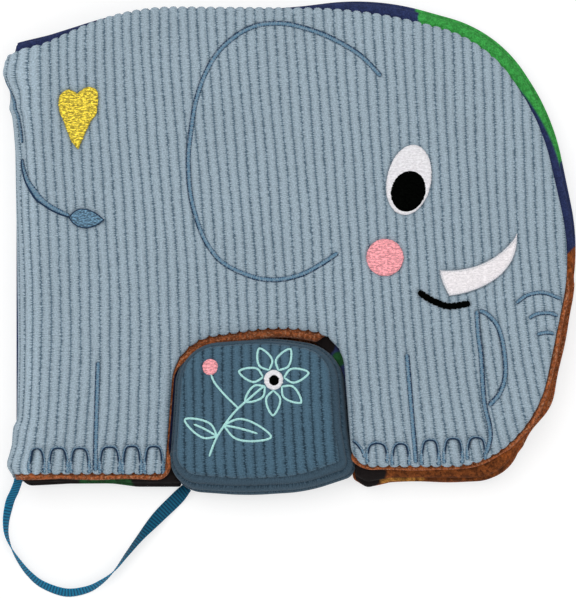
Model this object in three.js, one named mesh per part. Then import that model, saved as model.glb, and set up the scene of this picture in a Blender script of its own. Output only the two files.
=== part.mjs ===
// A soft cloth baby book cut out as a standing elephant, lying on its back cover.
// Two padded corduroy covers and two padded printed leaves are sewn together at a round spine.
// A stuffed corduroy pad sits in the arch between the legs, tied to the spine by a ribbon.
// Millimetres, +Z up, X from the spine to the trunk, Y from the feet to the elephant's back.

import * as THREE from 'three';

// Silhouette of the front cover, from the outer line of the spine and the sole of the rear foot
const BODY_LENGTH = 215.5;
const BACK_HEIGHT = 181.3;
const SPINE_HEIGHT = 162.6;
const FRONT_FOOT_RISE = 2.8;
const FOOT_CORNER_RADIUS = 3.5;
const FRONT_FOOT_CORNER_RADIUS = 9;
const RUMP_REACH = 42.4;
const RUMP_RADIUS = 109;

// Rounded corners of the head and trunk: reach is measured back from the trunk's front,
// drop down from the elephant's back and rise up from the front foot's sole
const CROWN_REACH = 80;
const CROWN_DROP = 0.8;
const CROWN_RADIUS = 200;
const BROW_REACH = 33.2;
const BROW_DROP = 12.5;
const BROW_RADIUS = 60;
const FOREHEAD_REACH = 11.7;
const FOREHEAD_DROP = 45.5;
const FOREHEAD_RADIUS = 88;
const TRUNK_DROP = 95;
const TRUNK_RADIUS = 87;
const TRUNK_TIP_REACH = 13.5;
const TRUNK_TIP_RISE = 22;
const TRUNK_TIP_RADIUS = 58;
const TOE_REACH = 34;
const TOE_RISE = 1.5;
const TOE_RADIUS = 29.5;

// Arch between the legs, measured on the front cover's cloth
const ARCH_START = 57.5;
const ARCH_SPAN = 74;
const ARCH_HEIGHT = 57;
const ARCH_LEAN = 4;
const ARCH_CORNER_RADIUS = 14;
const ARCH_CROWN = 4.5;
const ARCH_CROWN_RADIUS = 120;

// Thickness of the sheets and cloths
const COVER_THICKNESS = 5;
const LEAF_THICKNESS = 4.9;
const CORDUROY_THICKNESS = 1;
const COTTON_THICKNESS = 0.5;
const LAYER_GAP = 0.3;
const SHEET_GAP = 0.3;

// Rounded edges of the padded sheets
const COVER_EDGE_REACH = 10;
const LEAF_EDGE_REACH = 8;
const WADDING_INSET = 2;
const WADDING_START = 16;
const LEAF_START = 2.8;

// How far the inner sheets stand out past the front cover
const LINING_LIP = 1;
const PAGE_LIP = 1.2;
const PAGE_OVERHANG_TOP = 3.5;
const PAGE_OVERHANG_FRONT = 3.5;
const PAGE_OVERHANG_FOOT = 5.5;
const PAGE_OVERHANG_CREST = 1.6;
const PAGE_OVERHANG_SPINE = 4;
const PAGE_OVERHANG_REAR_FOOT = 3.9;
const LEAF_ONE_SHARE = 0.7;
const BACK_COVER_SHARE = 0.85;

// Bends that only the inner sheets have, at the heel of the rear foot and at the nape
const PAGE_HEEL_REACH = 20;
const PAGE_HEEL_RADIUS = 28;
const PAGE_NAPE_REACH = 104;
const PAGE_NAPE_RADIUS = 150;

// How far the inner sheets' corners differ from the front cover's, in rounding or in place
const PAGE_RUMP_ROUNDER = 50;
const PAGE_CROWN_TIGHTER = 80;
const PAGE_FOOT_TIGHTER = 6;
const PAGE_TOE_TIGHTER = 6;
const PAGE_TOE_SHIFT = 3.5;
const PAGE_TRUNK_TIP_SHIFT = 1.5;

// Stuffed calf pad in the arch
const CALF_CLEARANCE = 0.7;
const CALF_TOP_CLEARANCE = 1.6;
const CALF_DROP = 5.5;
const CALF_BELLY = 3;
const CALF_CORNER_RADIUS = 11;
const CALF_SHOULDER_RADIUS = 16;
const CALF_THICKNESS = 25;
const CALF_SEAM_INSET = 4.5;
const CALF_SEAM_HEIGHT = 3.8;
const CALF_LEAN_X = 1.8;
const CALF_LEAN_Y = 3.5;
const CALF_SOLE_REACH = 20;
const CALF_CROWN_REACH = 18;

// Embroidered pads on the front cover
const THREAD_PAD = 0.6;
const PAD_SEAT = 0.05;
const EYE_WIDTH = 17;
const EYE_HEIGHT = 26.6;
const EYE_LIFT = 1.5;
const EYE_REACH = 63.4;
const EYE_DROP = 67.3;
const PUPIL_WIDTH = 13.6;
const PUPIL_HEIGHT = 15.8;
const PUPIL_SHIFT = 0.6;
const PUPIL_DROP = 4.6;
const CHEEK_DIAMETER = 14.4;
const CHEEK_REACH = 72.7;
const CHEEK_DROP = 97.1;
const TUSK_REACH = 51.4;
const TUSK_DROP = 102;
const TUSK_LENGTH = 29.8;
const TUSK_LIFT = 14;
const TUSK_ROOT = 10;
const HEART_WIDTH = 15.5;
const HEART_HEIGHT = 24;
const HEART_FROM_SPINE = 24.4;
const HEART_DROP = 31.1;

// Ribbon
const RIBBON_WIDTH = 5.2;
const RIBBON_THICKNESS = 0.5;

// Derived sizes
const SPINE_RADIUS = COVER_THICKNESS + SHEET_GAP + LEAF_THICKNESS + SHEET_GAP / 2;
const BOOK_THICKNESS = 2 * SPINE_RADIUS;
const SPINE_WALL = CORDUROY_THICKNESS + LAYER_GAP + COTTON_THICKNESS;
const SPINE_COLUMNS = 10;
const ARC_SAG = 0.2;
const EDGE_CROWDING = 1.6;
const LEAST_RADIUS = 0.3;
const PANEL_SWELL = CALF_SEAM_HEIGHT - LAYER_GAP / 2 - CORDUROY_THICKNESS;
const ORIGIN_X = BODY_LENGTH / 2;
const ORIGIN_Y = BACK_HEIGHT / 2;

// Colours read off the photograph
const PALE_BLUE = 0x8fa1ae;
const NIGHT_NAVY = 0x28325a;
const LEAF_GREEN = 0x3a9a45;
const EARTH_BROWN = 0x9c5a30;
const WADDING_WHITE = 0xf0efe8;
const CALF_BLUE = 0x3e5566;
const RIBBON_TEAL = 0x1a7596;
const THREAD_WHITE = 0xe8e6ea;
const THREAD_BLACK = 0x0a0a0a;
const THREAD_PINK = 0xf0a0a8;
const THREAD_GOLD = 0xd8c038;

// Corners of the silhouette, counter-clockwise from the spine's foot, each with its rounding.
// share is how much of the page overhang a sheet has, and lip how far it reaches into the arch.
function elephantCorners(start, share, lip) {
  const foot = FRONT_FOOT_RISE - share * PAGE_OVERHANG_FOOT;
  const front = BODY_LENGTH + share * PAGE_OVERHANG_FRONT;
  const back = BACK_HEIGHT + share * PAGE_OVERHANG_TOP;
  const crown = back - CROWN_DROP + share * PAGE_OVERHANG_CREST;
  const head = SPINE_HEIGHT + share * PAGE_OVERHANG_SPINE;
  const rearFoot = -share * PAGE_OVERHANG_REAR_FOOT;
  const frontCorner = FRONT_FOOT_CORNER_RADIUS - share * PAGE_FOOT_TIGHTER;
  const toeFront = front - TOE_REACH + share * PAGE_TOE_SHIFT;
  const tipFront = front - TRUNK_TIP_REACH - share * PAGE_TRUNK_TIP_SHIFT;
  const tip = TRUNK_TIP_RISE + (FRONT_FOOT_RISE + foot) / 2;
  const slope = (BACK_HEIGHT - SPINE_HEIGHT) / RUMP_REACH;
  const archEnd = ARCH_START + ARCH_SPAN;
  const archTop = ARCH_HEIGHT - lip;
  const archSide = archTop - ARCH_CROWN;
  const heel = { x: PAGE_HEEL_REACH, y: rearFoot, r: PAGE_HEEL_RADIUS };
  const nape = { x: PAGE_NAPE_REACH, y: BACK_HEIGHT, r: PAGE_NAPE_RADIUS };
  return [
    { x: start, y: 0, r: 0 },
    ...(share > 0 ? [heel] : []),
    { x: ARCH_START + lip, y: rearFoot, r: FOOT_CORNER_RADIUS },
    { x: ARCH_START + ARCH_LEAN + lip, y: archSide, r: ARCH_CORNER_RADIUS },
    { x: ARCH_START + ARCH_SPAN / 2, y: archTop, r: ARCH_CROWN_RADIUS },
    { x: archEnd - ARCH_LEAN, y: archSide, r: ARCH_CORNER_RADIUS },
    { x: archEnd, y: foot, r: frontCorner },
    { x: toeFront, y: foot + TOE_RISE, r: TOE_RADIUS - share * PAGE_TOE_TIGHTER },
    { x: tipFront, y: tip, r: TRUNK_TIP_RADIUS },
    { x: front, y: back - TRUNK_DROP, r: TRUNK_RADIUS },
    { x: front - FOREHEAD_REACH, y: back - FOREHEAD_DROP, r: FOREHEAD_RADIUS },
    { x: front - BROW_REACH, y: back - BROW_DROP, r: BROW_RADIUS },
    { x: front - CROWN_REACH, y: crown, r: CROWN_RADIUS - share * PAGE_CROWN_TIGHTER },
    ...(share > 0 ? [nape] : []),
    { x: RUMP_REACH, y: BACK_HEIGHT, r: RUMP_RADIUS + share * PAGE_RUMP_ROUNDER },
    { x: start, y: head + slope * start, r: 0 },
  ];
}

// Where two lines meet, each given by a point and a direction
function meet(pointA, alongA, pointB, alongB) {
  const gap = pointB.clone().sub(pointA);
  const t = gap.cross(alongB) / alongA.cross(alongB);
  return pointA.clone().addScaledVector(alongA, t);
}

// An outline with rounded corners, moved inwards by inset. Each corner keeps its number of points,
// so that outlines with different insets can be joined point by point.
function roundedOutline(corners, inset, spineInset = inset) {
  const count = corners.length;
  const edges = corners.map((corner, i) => {
    const next = corners[(i + 1) % count];
    const along = new THREE.Vector2(next.x - corner.x, next.y - corner.y).normalize();
    const distance = i === count - 1 ? spineInset : inset;
    const point = new THREE.Vector2(corner.x - along.y * distance, corner.y + along.x * distance);
    return { point, along };
  });
  const before = (i) => edges[(i + count - 1) % count];
  const tips = edges.map((edge, i) => meet(before(i).point, before(i).along, edge.point, edge.along));
  const points = [];
  for (let i = 0; i < count; i += 1) {
    if (corners[i].r === 0) {
      points.push(tips[i]);
      continue;
    }
    const room = Math.min(
      tips[i].distanceTo(tips[(i + count - 1) % count]),
      tips[i].distanceTo(tips[(i + 1) % count]),
    );
    points.push(...cornerArc(tips[i], before(i).along, edges[i].along, corners[i].r, inset, room));
  }
  return points;
}

// The points of one rounded corner. The rounding shrinks with the inset where the outline turns
// left and grows where it turns right, and takes up at most half of the shorter side.
function cornerArc(tip, along, alongNext, rounding, inset, room) {
  const turn = Math.atan2(along.cross(alongNext), along.dot(alongNext));
  const side = Math.sign(turn);
  const slope = Math.tan(Math.abs(turn) / 2);
  const most = (0.49 * room) / slope;
  const radius = THREE.MathUtils.clamp(rounding - side * inset, LEAST_RADIUS, most);
  const inward = new THREE.Vector2(-along.y, along.x).multiplyScalar(side);
  const centre = tip.clone().addScaledVector(along, -radius * slope);
  centre.addScaledVector(inward, radius);
  const step = THREE.MathUtils.clamp(2 * Math.acos(1 - ARC_SAG / rounding), 0.1, 0.35);
  const steps = Math.max(2, Math.ceil(Math.abs(turn) / step));
  const points = [];
  for (let k = 0; k <= steps; k += 1) {
    const spoke = inward.clone().rotateAround(new THREE.Vector2(), (turn * k) / steps);
    points.push(centre.clone().addScaledVector(spoke, -radius));
  }
  return points;
}

// The outline of a cover with extra points across the spine, which the fold needs.
// The first and the last SPINE_COLUMNS + 1 points face each other across the spine.
function coverOutline(corners, inset) {
  const points = roundedOutline(corners, inset, 0);
  const foot = points[0];
  const head = points[points.length - 1];
  const footNext = points[1];
  const headNext = points[points.length - 2];
  const columns = [];
  for (let j = 1; j <= SPINE_COLUMNS; j += 1) {
    columns.push((WADDING_START * j) / SPINE_COLUMNS);
  }
  const across = (from, to, x) => from.clone().lerp(to, (x - from.x) / (to.x - from.x));
  const footColumns = columns.map((x) => across(foot, footNext, x));
  const headColumns = columns.map((x) => across(head, headNext, x)).reverse();
  return [foot, ...footColumns, ...points.slice(1, -1), ...headColumns, head];
}

// Quarter of an ellipse: 0 at the seam and 1 from the end of the rounded edge inwards
function swell(inset, reach) {
  const left = 1 - Math.min(inset / reach, 1);
  return Math.sqrt(1 - left * left);
}

// Insets from the first to the last, closer together near the rim, where the edge turns most
function edgeInsets(first, last, steps) {
  const insets = [];
  for (let k = 0; k <= steps; k += 1) {
    insets.push(first + (last - first) * (k / steps) ** EDGE_CROWDING);
  }
  return insets;
}

function smoothStep(value) {
  const t = THREE.MathUtils.clamp(value, 0, 1);
  return t * t * (3 - 2 * t);
}

// Closed solid between two surfaces over the same rings of points, from the rim inwards.
// upper and lower give each point's place from its ring's outline point and its inset.
// columns is how many steps at both ends of the rings lie across the spine, or 0 on a plain pad.
function layeredSolid(rings, upper, lower, columns = 0) {
  const size = rings[0].points.length;
  const closed = columns === 0;
  const positions = [];
  for (const place of [upper, lower]) {
    for (const ring of rings) {
      for (const point of ring.points) {
        const at = place(point.x, point.y, ring.inset);
        positions.push(at.x, at.y, at.z);
      }
    }
  }
  const depth = rings.length * size;
  const faces = [];
  const addFace = (a, b, c) => {
    faces.push(a, b, c, depth + a, depth + c, depth + b);
  };
  const steps = closed ? size : size - 1;
  for (let k = 0; k + 1 < rings.length; k += 1) {
    for (let i = 0; i < steps; i += 1) {
      const a = k * size + i;
      const b = k * size + ((i + 1) % size);
      addFace(a, b, b + size);
      addFace(a, b + size, a + size);
    }
  }
  const inner = (rings.length - 1) * size;
  for (let j = 0; j < columns; j += 1) {
    const a = inner + j;
    const b = inner + size - 1 - j;
    addFace(a, a + 1, b - 1);
    addFace(a, b - 1, b);
  }
  const flat = rings[rings.length - 1].points.slice(columns, size - columns);
  for (const [a, b, c] of THREE.ShapeUtils.triangulateShape(flat, [])) {
    addFace(inner + columns + a, inner + columns + b, inner + columns + c);
  }
  for (let i = 0; i < steps; i += 1) {
    const next = (i + 1) % size;
    faces.push(i, depth + i, depth + next, i, depth + next, next);
  }
  if (!closed) {
    addEndWall(faces, rings.length, size, depth);
  }
  return solidFrom(positions, faces);
}

// The wall along the fold line, which runs over the rings' first points and back over their last
function addEndWall(faces, ringCount, size, depth) {
  const line = [];
  for (let k = 0; k < ringCount; k += 1) {
    line.push(k * size + size - 1);
  }
  for (let k = ringCount - 1; k >= 0; k -= 1) {
    line.push(k * size);
  }
  for (let i = 0; i + 1 < line.length; i += 1) {
    const a = line[i];
    const b = line[i + 1];
    faces.push(a, depth + a, depth + b, a, depth + b, b);
  }
}

function solidFrom(positions, faces) {
  const geometry = new THREE.BufferGeometry();
  geometry.setAttribute('position', new THREE.Float32BufferAttribute(positions, 3));
  geometry.setIndex(faces);
  geometry.computeVertexNormals();
  return geometry;
}

// Turns a solid upside down within the book's thickness, and keeps its faces pointing out
function turnedOver(geometry) {
  const place = geometry.getAttribute('position');
  for (let i = 0; i < place.count; i += 1) {
    place.setZ(i, BOOK_THICKNESS - place.getZ(i));
  }
  const faces = geometry.getIndex().array;
  for (let i = 0; i < faces.length; i += 3) {
    [faces[i + 1], faces[i + 2]] = [faces[i + 2], faces[i + 1]];
  }
  geometry.computeVertexNormals();
  return geometry;
}

// Lays a point of the flat cover sheet round the half-round spine. depth is measured from the
// outer surface, and the fold stops half a gap short of the other cover.
function foldRoundSpine(x, y, depth) {
  if (x >= SPINE_RADIUS) {
    return new THREE.Vector3(x, y, BOOK_THICKNESS - depth);
  }
  const lastAngle = Math.acos(SHEET_GAP / 2 / (SPINE_RADIUS - SPINE_WALL));
  const angle = lastAngle * (1 - x / SPINE_RADIUS);
  const radius = SPINE_RADIUS - depth;
  const across = SPINE_RADIUS - radius * Math.sin(angle);
  return new THREE.Vector3(across, y, SPINE_RADIUS + radius * Math.cos(angle));
}

// Full depth of a cover sheet: bare cloth round the spine, padded from there on
function coverDepth(x) {
  const spread = smoothStep((x - WADDING_START / 3) / (WADDING_START - WADDING_START / 3));
  return SPINE_WALL + (COVER_THICKNESS - SPINE_WALL) * spread;
}

function coverCrown(x) {
  return coverDepth(x) - COTTON_THICKNESS - LAYER_GAP - CORDUROY_THICKNESS;
}

function coverClothDepth(x, inset) {
  return coverCrown(x) * (1 - swell(inset, COVER_EDGE_REACH));
}

function coverCloth(share) {
  const corners = elephantCorners(0, share, share * PAGE_LIP);
  const insets = edgeInsets(0, COVER_EDGE_REACH, 4);
  const rings = insets.map((inset) => ({ inset, points: coverOutline(corners, inset) }));
  const outer = (x, y, inset) => foldRoundSpine(x, y, coverClothDepth(x, inset));
  const inner = (x, y, inset) => foldRoundSpine(x, y, coverClothDepth(x, inset) + CORDUROY_THICKNESS);
  return layeredSolid(rings, outer, inner, SPINE_COLUMNS);
}

function coverLining(share) {
  const corners = elephantCorners(0, share, share * PAGE_LIP);
  const rings = [{ inset: 0, points: coverOutline(corners, -LINING_LIP) }];
  const outer = (x, y) => foldRoundSpine(x, y, coverDepth(x) - COTTON_THICKNESS);
  const inner = (x, y) => foldRoundSpine(x, y, coverDepth(x));
  return layeredSolid(rings, outer, inner, SPINE_COLUMNS);
}

// The wadding lies inside the cloth's own outline, from the end of the fold outwards
function coverWadding(share) {
  const corners = elephantCorners(0, share, share * PAGE_LIP);
  const insets = edgeInsets(WADDING_INSET, COVER_EDGE_REACH, 2);
  const rings = insets.map((inset) => ({
    inset,
    points: coverOutline(corners, inset).slice(SPINE_COLUMNS, -SPINE_COLUMNS),
  }));
  const under = CORDUROY_THICKNESS + LAYER_GAP;
  const above = COVER_THICKNESS - COTTON_THICKNESS - LAYER_GAP;
  const outer = (x, y, inset) => foldRoundSpine(x, y, coverClothDepth(x, inset) + under);
  const inner = (x, y) => foldRoundSpine(x, y, above);
  return layeredSolid(rings, outer, inner);
}

// Height of a leaf's cloth over the leaf's mid plane
function leafClothHeight(inset) {
  const crown = (LEAF_THICKNESS - LAYER_GAP) / 2 - COTTON_THICKNESS;
  return LAYER_GAP / 2 + COTTON_THICKNESS + crown * swell(inset, LEAF_EDGE_REACH);
}

function leafRings(share, insets) {
  const corners = elephantCorners(LEAF_START, share, PAGE_LIP);
  return insets.map((inset) => ({ inset, points: roundedOutline(corners, inset) }));
}

function leafCloth(share, middle, side) {
  const rings = leafRings(share, edgeInsets(0, LEAF_EDGE_REACH, 3));
  const outer = (x, y, inset) => new THREE.Vector3(x, y, middle + side * leafClothHeight(inset));
  const inner = (x, y, inset) => {
    const height = leafClothHeight(inset) - COTTON_THICKNESS;
    return new THREE.Vector3(x, y, middle + side * height);
  };
  return side > 0 ? layeredSolid(rings, outer, inner) : layeredSolid(rings, inner, outer);
}

function leafWadding(share, middle) {
  const rings = leafRings(share, edgeInsets(WADDING_INSET, LEAF_EDGE_REACH, 2));
  const height = (inset) => leafClothHeight(inset) - COTTON_THICKNESS - LAYER_GAP;
  const upper = (x, y, inset) => new THREE.Vector3(x, y, middle + height(inset));
  const lower = (x, y, inset) => new THREE.Vector3(x, y, middle - height(inset));
  return layeredSolid(rings, upper, lower);
}

// The calf pad's outline at its widest, a clearance inside the narrowest arch
function calfCorners() {
  const left = ARCH_START + PAGE_LIP + CALF_CLEARANCE;
  const right = ARCH_START + ARCH_SPAN - CALF_CLEARANCE;
  const top = ARCH_HEIGHT - PAGE_LIP - CALF_TOP_CLEARANCE;
  const side = top - ARCH_CROWN;
  const middle = (left + right) / 2;
  return [
    { x: left, y: -CALF_DROP, r: CALF_CORNER_RADIUS },
    { x: middle, y: -CALF_DROP - CALF_BELLY, r: ARCH_CROWN_RADIUS },
    { x: right, y: -CALF_DROP, r: CALF_CORNER_RADIUS },
    { x: right - ARCH_LEAN, y: side, r: CALF_SHOULDER_RADIUS },
    { x: middle, y: top, r: ARCH_CROWN_RADIUS },
    { x: left + ARCH_LEAN, y: side, r: CALF_SHOULDER_RADIUS },
  ];
}

// The pad leans: its face lies a little higher up the page than its back
function calfPlace(x, y, z) {
  const level = (z / CALF_THICKNESS - 0.5) * 2;
  return new THREE.Vector3(x - level * CALF_LEAN_X, y + level * CALF_LEAN_Y, z);
}

// One of the pad's two panels, from the heights of its upper and lower faces at each inset
function calfPanel(insets, upperHeight, lowerHeight) {
  const rings = insets.map((inset) => ({
    inset,
    points: roundedOutline(calfCorners(), CALF_SEAM_INSET + inset),
  }));
  const upper = (x, y, inset) => calfPlace(x, y, upperHeight(inset));
  const lower = (x, y, inset) => calfPlace(x, y, lowerHeight(inset));
  return layeredSolid(rings, upper, lower);
}

function calfFaceHeight(inset) {
  return CALF_THICKNESS - PANEL_SWELL * (1 - swell(inset, CALF_CROWN_REACH));
}

// The sole rises slowly from its flat middle to the seam, so the ribbon's end fits under its edge
function calfSoleHeight(inset) {
  const left = 1 - Math.min(inset / CALF_SOLE_REACH, 1);
  return PANEL_SWELL * left * left;
}

function calfFrontPanel() {
  const under = (inset) => calfFaceHeight(inset) - CORDUROY_THICKNESS;
  return calfPanel(edgeInsets(0, CALF_CROWN_REACH, 4), calfFaceHeight, under);
}

function calfBackPanel() {
  const above = (inset) => calfSoleHeight(inset) + CORDUROY_THICKNESS;
  return calfPanel(edgeInsets(0, CALF_SOLE_REACH, 4), above, calfSoleHeight);
}

// How far the gusset's outer face lies inside the pad's widest outline at a height
function gussetInset(z) {
  const across = (z - CALF_THICKNESS / 2) / (CALF_THICKNESS / 2 - CALF_SEAM_HEIGHT);
  return CALF_SEAM_INSET * Math.min(across * across, 1);
}

// Band sewn round the pad between its two panels: an outer and an inner wall joined at both rims
function calfGusset() {
  const levels = 6;
  const low = CALF_SEAM_HEIGHT + LAYER_GAP / 2;
  const high = CALF_THICKNESS - low;
  const sections = [];
  for (let k = 0; k <= levels; k += 1) {
    const z = low + ((high - low) * k) / levels;
    sections.push({ z, inset: gussetInset(z) });
  }
  for (let k = levels; k >= 0; k -= 1) {
    const { z, inset } = sections[k];
    sections.push({ z, inset: inset + CORDUROY_THICKNESS });
  }
  const positions = [];
  const faces = [];
  const size = roundedOutline(calfCorners(), 0).length;
  sections.forEach(({ z, inset }, k) => {
    const nextSection = (k + 1) % sections.length;
    roundedOutline(calfCorners(), inset).forEach((point, i) => {
      const at = calfPlace(point.x, point.y, z);
      positions.push(at.x, at.y, at.z);
      const next = (i + 1) % size;
      const a = k * size + i;
      const b = k * size + next;
      const c = nextSection * size + next;
      const d = nextSection * size + i;
      faces.push(a, b, c, a, c, d);
    });
  });
  return solidFrom(positions, faces);
}

// Stuffing that fills the sewn pad, a layer gap inside its cloth
function calfStuffing() {
  const cloth = CORDUROY_THICKNESS + LAYER_GAP;
  const levels = [];
  for (const inset of edgeInsets(cloth, CALF_CROWN_REACH, 3).reverse()) {
    levels.push({ inset: CALF_SEAM_INSET + inset, z: calfFaceHeight(inset) - cloth });
  }
  const low = CALF_SEAM_HEIGHT + LAYER_GAP / 2;
  const high = CALF_THICKNESS - low;
  const bands = 4;
  for (let k = bands; k >= 0; k -= 1) {
    const z = low + ((high - low) * k) / bands;
    levels.push({ inset: gussetInset(z) + cloth, z });
  }
  for (const inset of edgeInsets(cloth, CALF_SOLE_REACH, 3)) {
    levels.push({ inset: CALF_SEAM_INSET + inset, z: calfSoleHeight(inset) + cloth });
  }
  return stackedSolid(levels);
}

// Closed solid through a stack of outlines from the top down, with a flat cap at each end
function stackedSolid(levels) {
  const positions = [];
  const faces = [];
  const outlines = levels.map(({ inset }) => roundedOutline(calfCorners(), inset));
  const size = outlines[0].length;
  levels.forEach(({ z }, k) => {
    for (const point of outlines[k]) {
      const at = calfPlace(point.x, point.y, z);
      positions.push(at.x, at.y, at.z);
    }
  });
  for (let k = 0; k + 1 < levels.length; k += 1) {
    for (let i = 0; i < size; i += 1) {
      const a = k * size + i;
      const b = k * size + ((i + 1) % size);
      faces.push(a, a + size, b + size, a, b + size, b);
    }
  }
  const last = (levels.length - 1) * size;
  for (const [a, b, c] of THREE.ShapeUtils.triangulateShape(outlines[0], [])) {
    faces.push(a, b, c);
  }
  for (const [a, b, c] of THREE.ShapeUtils.triangulateShape(outlines[levels.length - 1], [])) {
    faces.push(last + a, last + c, last + b);
  }
  return solidFrom(positions, faces);
}

// An embroidered pad: its outline raised off the cloth by the thickness of the thread
function threadPad(shape, base) {
  const geometry = new THREE.ExtrudeGeometry(shape, {
    depth: THREAD_PAD,
    bevelEnabled: false,
    curveSegments: 7,
  });
  geometry.translate(0, 0, base);
  return geometry;
}

// An egg standing upright, narrower above its widest line
function eggShape(x, y, width, height, lift) {
  const waist = y - lift;
  const top = y + height / 2;
  const bottom = y - height / 2;
  const bend = 0.5523;
  const half = width / 2;
  const shape = new THREE.Shape();
  shape.moveTo(x + half, waist);
  shape.bezierCurveTo(x + half, waist + (top - waist) * bend, x + half * bend, top, x, top);
  shape.bezierCurveTo(x - half * bend, top, x - half, waist + (top - waist) * bend, x - half, waist);
  shape.bezierCurveTo(x - half, waist + (bottom - waist) * bend, x - half * bend, bottom, x, bottom);
  shape.bezierCurveTo(x + half * bend, bottom, x + half, waist + (bottom - waist) * bend, x + half, waist);
  return shape;
}

function heartShape() {
  const x = HEART_FROM_SPINE;
  const top = BACK_HEIGHT - HEART_DROP;
  const half = HEART_WIDTH / 2;
  const tip = top - HEART_HEIGHT;
  const notch = top - HEART_HEIGHT * 0.17;
  const shoulder = top - HEART_HEIGHT * 0.28;
  const waist = tip + HEART_HEIGHT * 0.42;
  const lobe = top + HEART_HEIGHT * 0.05;
  const shape = new THREE.Shape();
  shape.moveTo(x, tip);
  shape.quadraticCurveTo(x + half * 0.85, waist, x + half, shoulder);
  shape.bezierCurveTo(x + half, lobe, x + half * 0.3, lobe, x, notch);
  shape.bezierCurveTo(x - half * 0.3, lobe, x - half, lobe, x - half, shoulder);
  shape.quadraticCurveTo(x - half * 0.85, waist, x, tip);
  return shape;
}

// A curved tusk: blunt at the root, pointed at the tip
function tuskShape() {
  const x = BODY_LENGTH - TUSK_REACH;
  const y = BACK_HEIGHT - TUSK_DROP;
  const tipX = x + TUSK_LENGTH;
  const tipY = y + TUSK_LIFT;
  const rootX = x + TUSK_ROOT * 0.37;
  const rootY = y - TUSK_ROOT;
  const shape = new THREE.Shape();
  shape.moveTo(x, y);
  shape.lineTo(rootX, rootY);
  shape.bezierCurveTo(rootX + TUSK_LENGTH * 0.32, rootY + 1, tipX + 1.2, tipY - 17, tipX, tipY);
  shape.bezierCurveTo(tipX - 6, tipY - TUSK_ROOT, x + TUSK_LENGTH * 0.4, y - 1, x, y);
  return shape;
}

// The ribbon lies in an open loop: out of the spine's foot, round, and under the calf's corner
const ribbonRoute = [
  new THREE.Vector3(0.3, -1.4, 8),
  new THREE.Vector3(0, -3.3, 7.15),
  new THREE.Vector3(-1.3, -6.7, 5.4),
  new THREE.Vector3(-3, -10.4, 3.3),
  new THREE.Vector3(-4.2, -14.9, 1.35),
  new THREE.Vector3(-4.8, -19.4, 0.45),
  new THREE.Vector3(-4.5, -23.9, 0.35),
  new THREE.Vector3(-2.7, -28.9, 0.35),
  new THREE.Vector3(0.2, -33.9, 0.35),
  new THREE.Vector3(4.3, -39.1, 0.35),
  new THREE.Vector3(9.7, -43.4, 0.35),
  new THREE.Vector3(18.5, -46.4, 0.35),
  new THREE.Vector3(26.7, -45.3, 0.35),
  new THREE.Vector3(32.5, -42.2, 0.35),
  new THREE.Vector3(37.5, -37.9, 0.35),
  new THREE.Vector3(42.6, -31.3, 0.35),
  new THREE.Vector3(48.4, -24, 0.35),
  new THREE.Vector3(55, -16.6, 0.35),
  new THREE.Vector3(61.5, -10.2, 0.6),
  new THREE.Vector3(66.2, -5.2, 1.9),
];

function ribbon() {
  const curve = new THREE.CatmullRomCurve3(ribbonRoute, false, 'centripetal');
  const steps = 44;
  const positions = [];
  const faces = [];
  for (let k = 0; k <= steps; k += 1) {
    const at = curve.getPointAt(k / steps);
    const along = curve.getTangentAt(k / steps);
    const sideways = new THREE.Vector3(along.y, -along.x, 0).normalize();
    const up = new THREE.Vector3().crossVectors(sideways, along).normalize();
    for (const [across, over] of [[-0.5, -0.5], [0.5, -0.5], [0.5, 0.5], [-0.5, 0.5]]) {
      const corner = at.clone();
      corner.addScaledVector(sideways, across * RIBBON_WIDTH);
      corner.addScaledVector(up, over * RIBBON_THICKNESS);
      positions.push(corner.x, corner.y, corner.z);
    }
  }
  for (let k = 0; k < steps; k += 1) {
    for (let i = 0; i < 4; i += 1) {
      const a = 4 * k + i;
      const b = 4 * k + ((i + 1) % 4);
      faces.push(a, b + 4, b, a, a + 4, b + 4);
    }
  }
  const last = 4 * steps;
  faces.push(0, 1, 2, 0, 2, 3);
  faces.push(last, last + 2, last + 1, last, last + 3, last + 2);
  return solidFrom(positions, faces);
}

const book = new THREE.Group();
book.position.set(-ORIGIN_X, -ORIGIN_Y, 0);

function addPiece(name, geometry, color, roughness) {
  const material = new THREE.MeshStandardMaterial({ color, roughness, metalness: 0 });
  const mesh = new THREE.Mesh(geometry, material);
  mesh.name = name;
  book.add(mesh);
}

function addCovers() {
  addPiece('front_cover_cloth', coverCloth(0), PALE_BLUE, 0.95);
  addPiece('front_cover_wadding', coverWadding(0), WADDING_WHITE, 1);
  addPiece('front_cover_lining', coverLining(0), EARTH_BROWN, 0.9);
  addPiece('back_cover_cloth', turnedOver(coverCloth(BACK_COVER_SHARE)), PALE_BLUE, 0.95);
  addPiece('back_cover_wadding', turnedOver(coverWadding(BACK_COVER_SHARE)), WADDING_WHITE, 1);
  addPiece('back_cover_lining', turnedOver(coverLining(BACK_COVER_SHARE)), EARTH_BROWN, 0.9);
}

function addLeaf(name, share, middle, colour) {
  addPiece(`${name}_recto`, leafCloth(share, middle, 1), colour, 0.9);
  addPiece(`${name}_wadding`, leafWadding(share, middle), WADDING_WHITE, 1);
  addPiece(`${name}_verso`, leafCloth(share, middle, -1), colour, 0.9);
}

function addThreadPad(name, shape, base, colour, roughness) {
  addPiece(name, threadPad(shape, base), colour, roughness);
}

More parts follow.
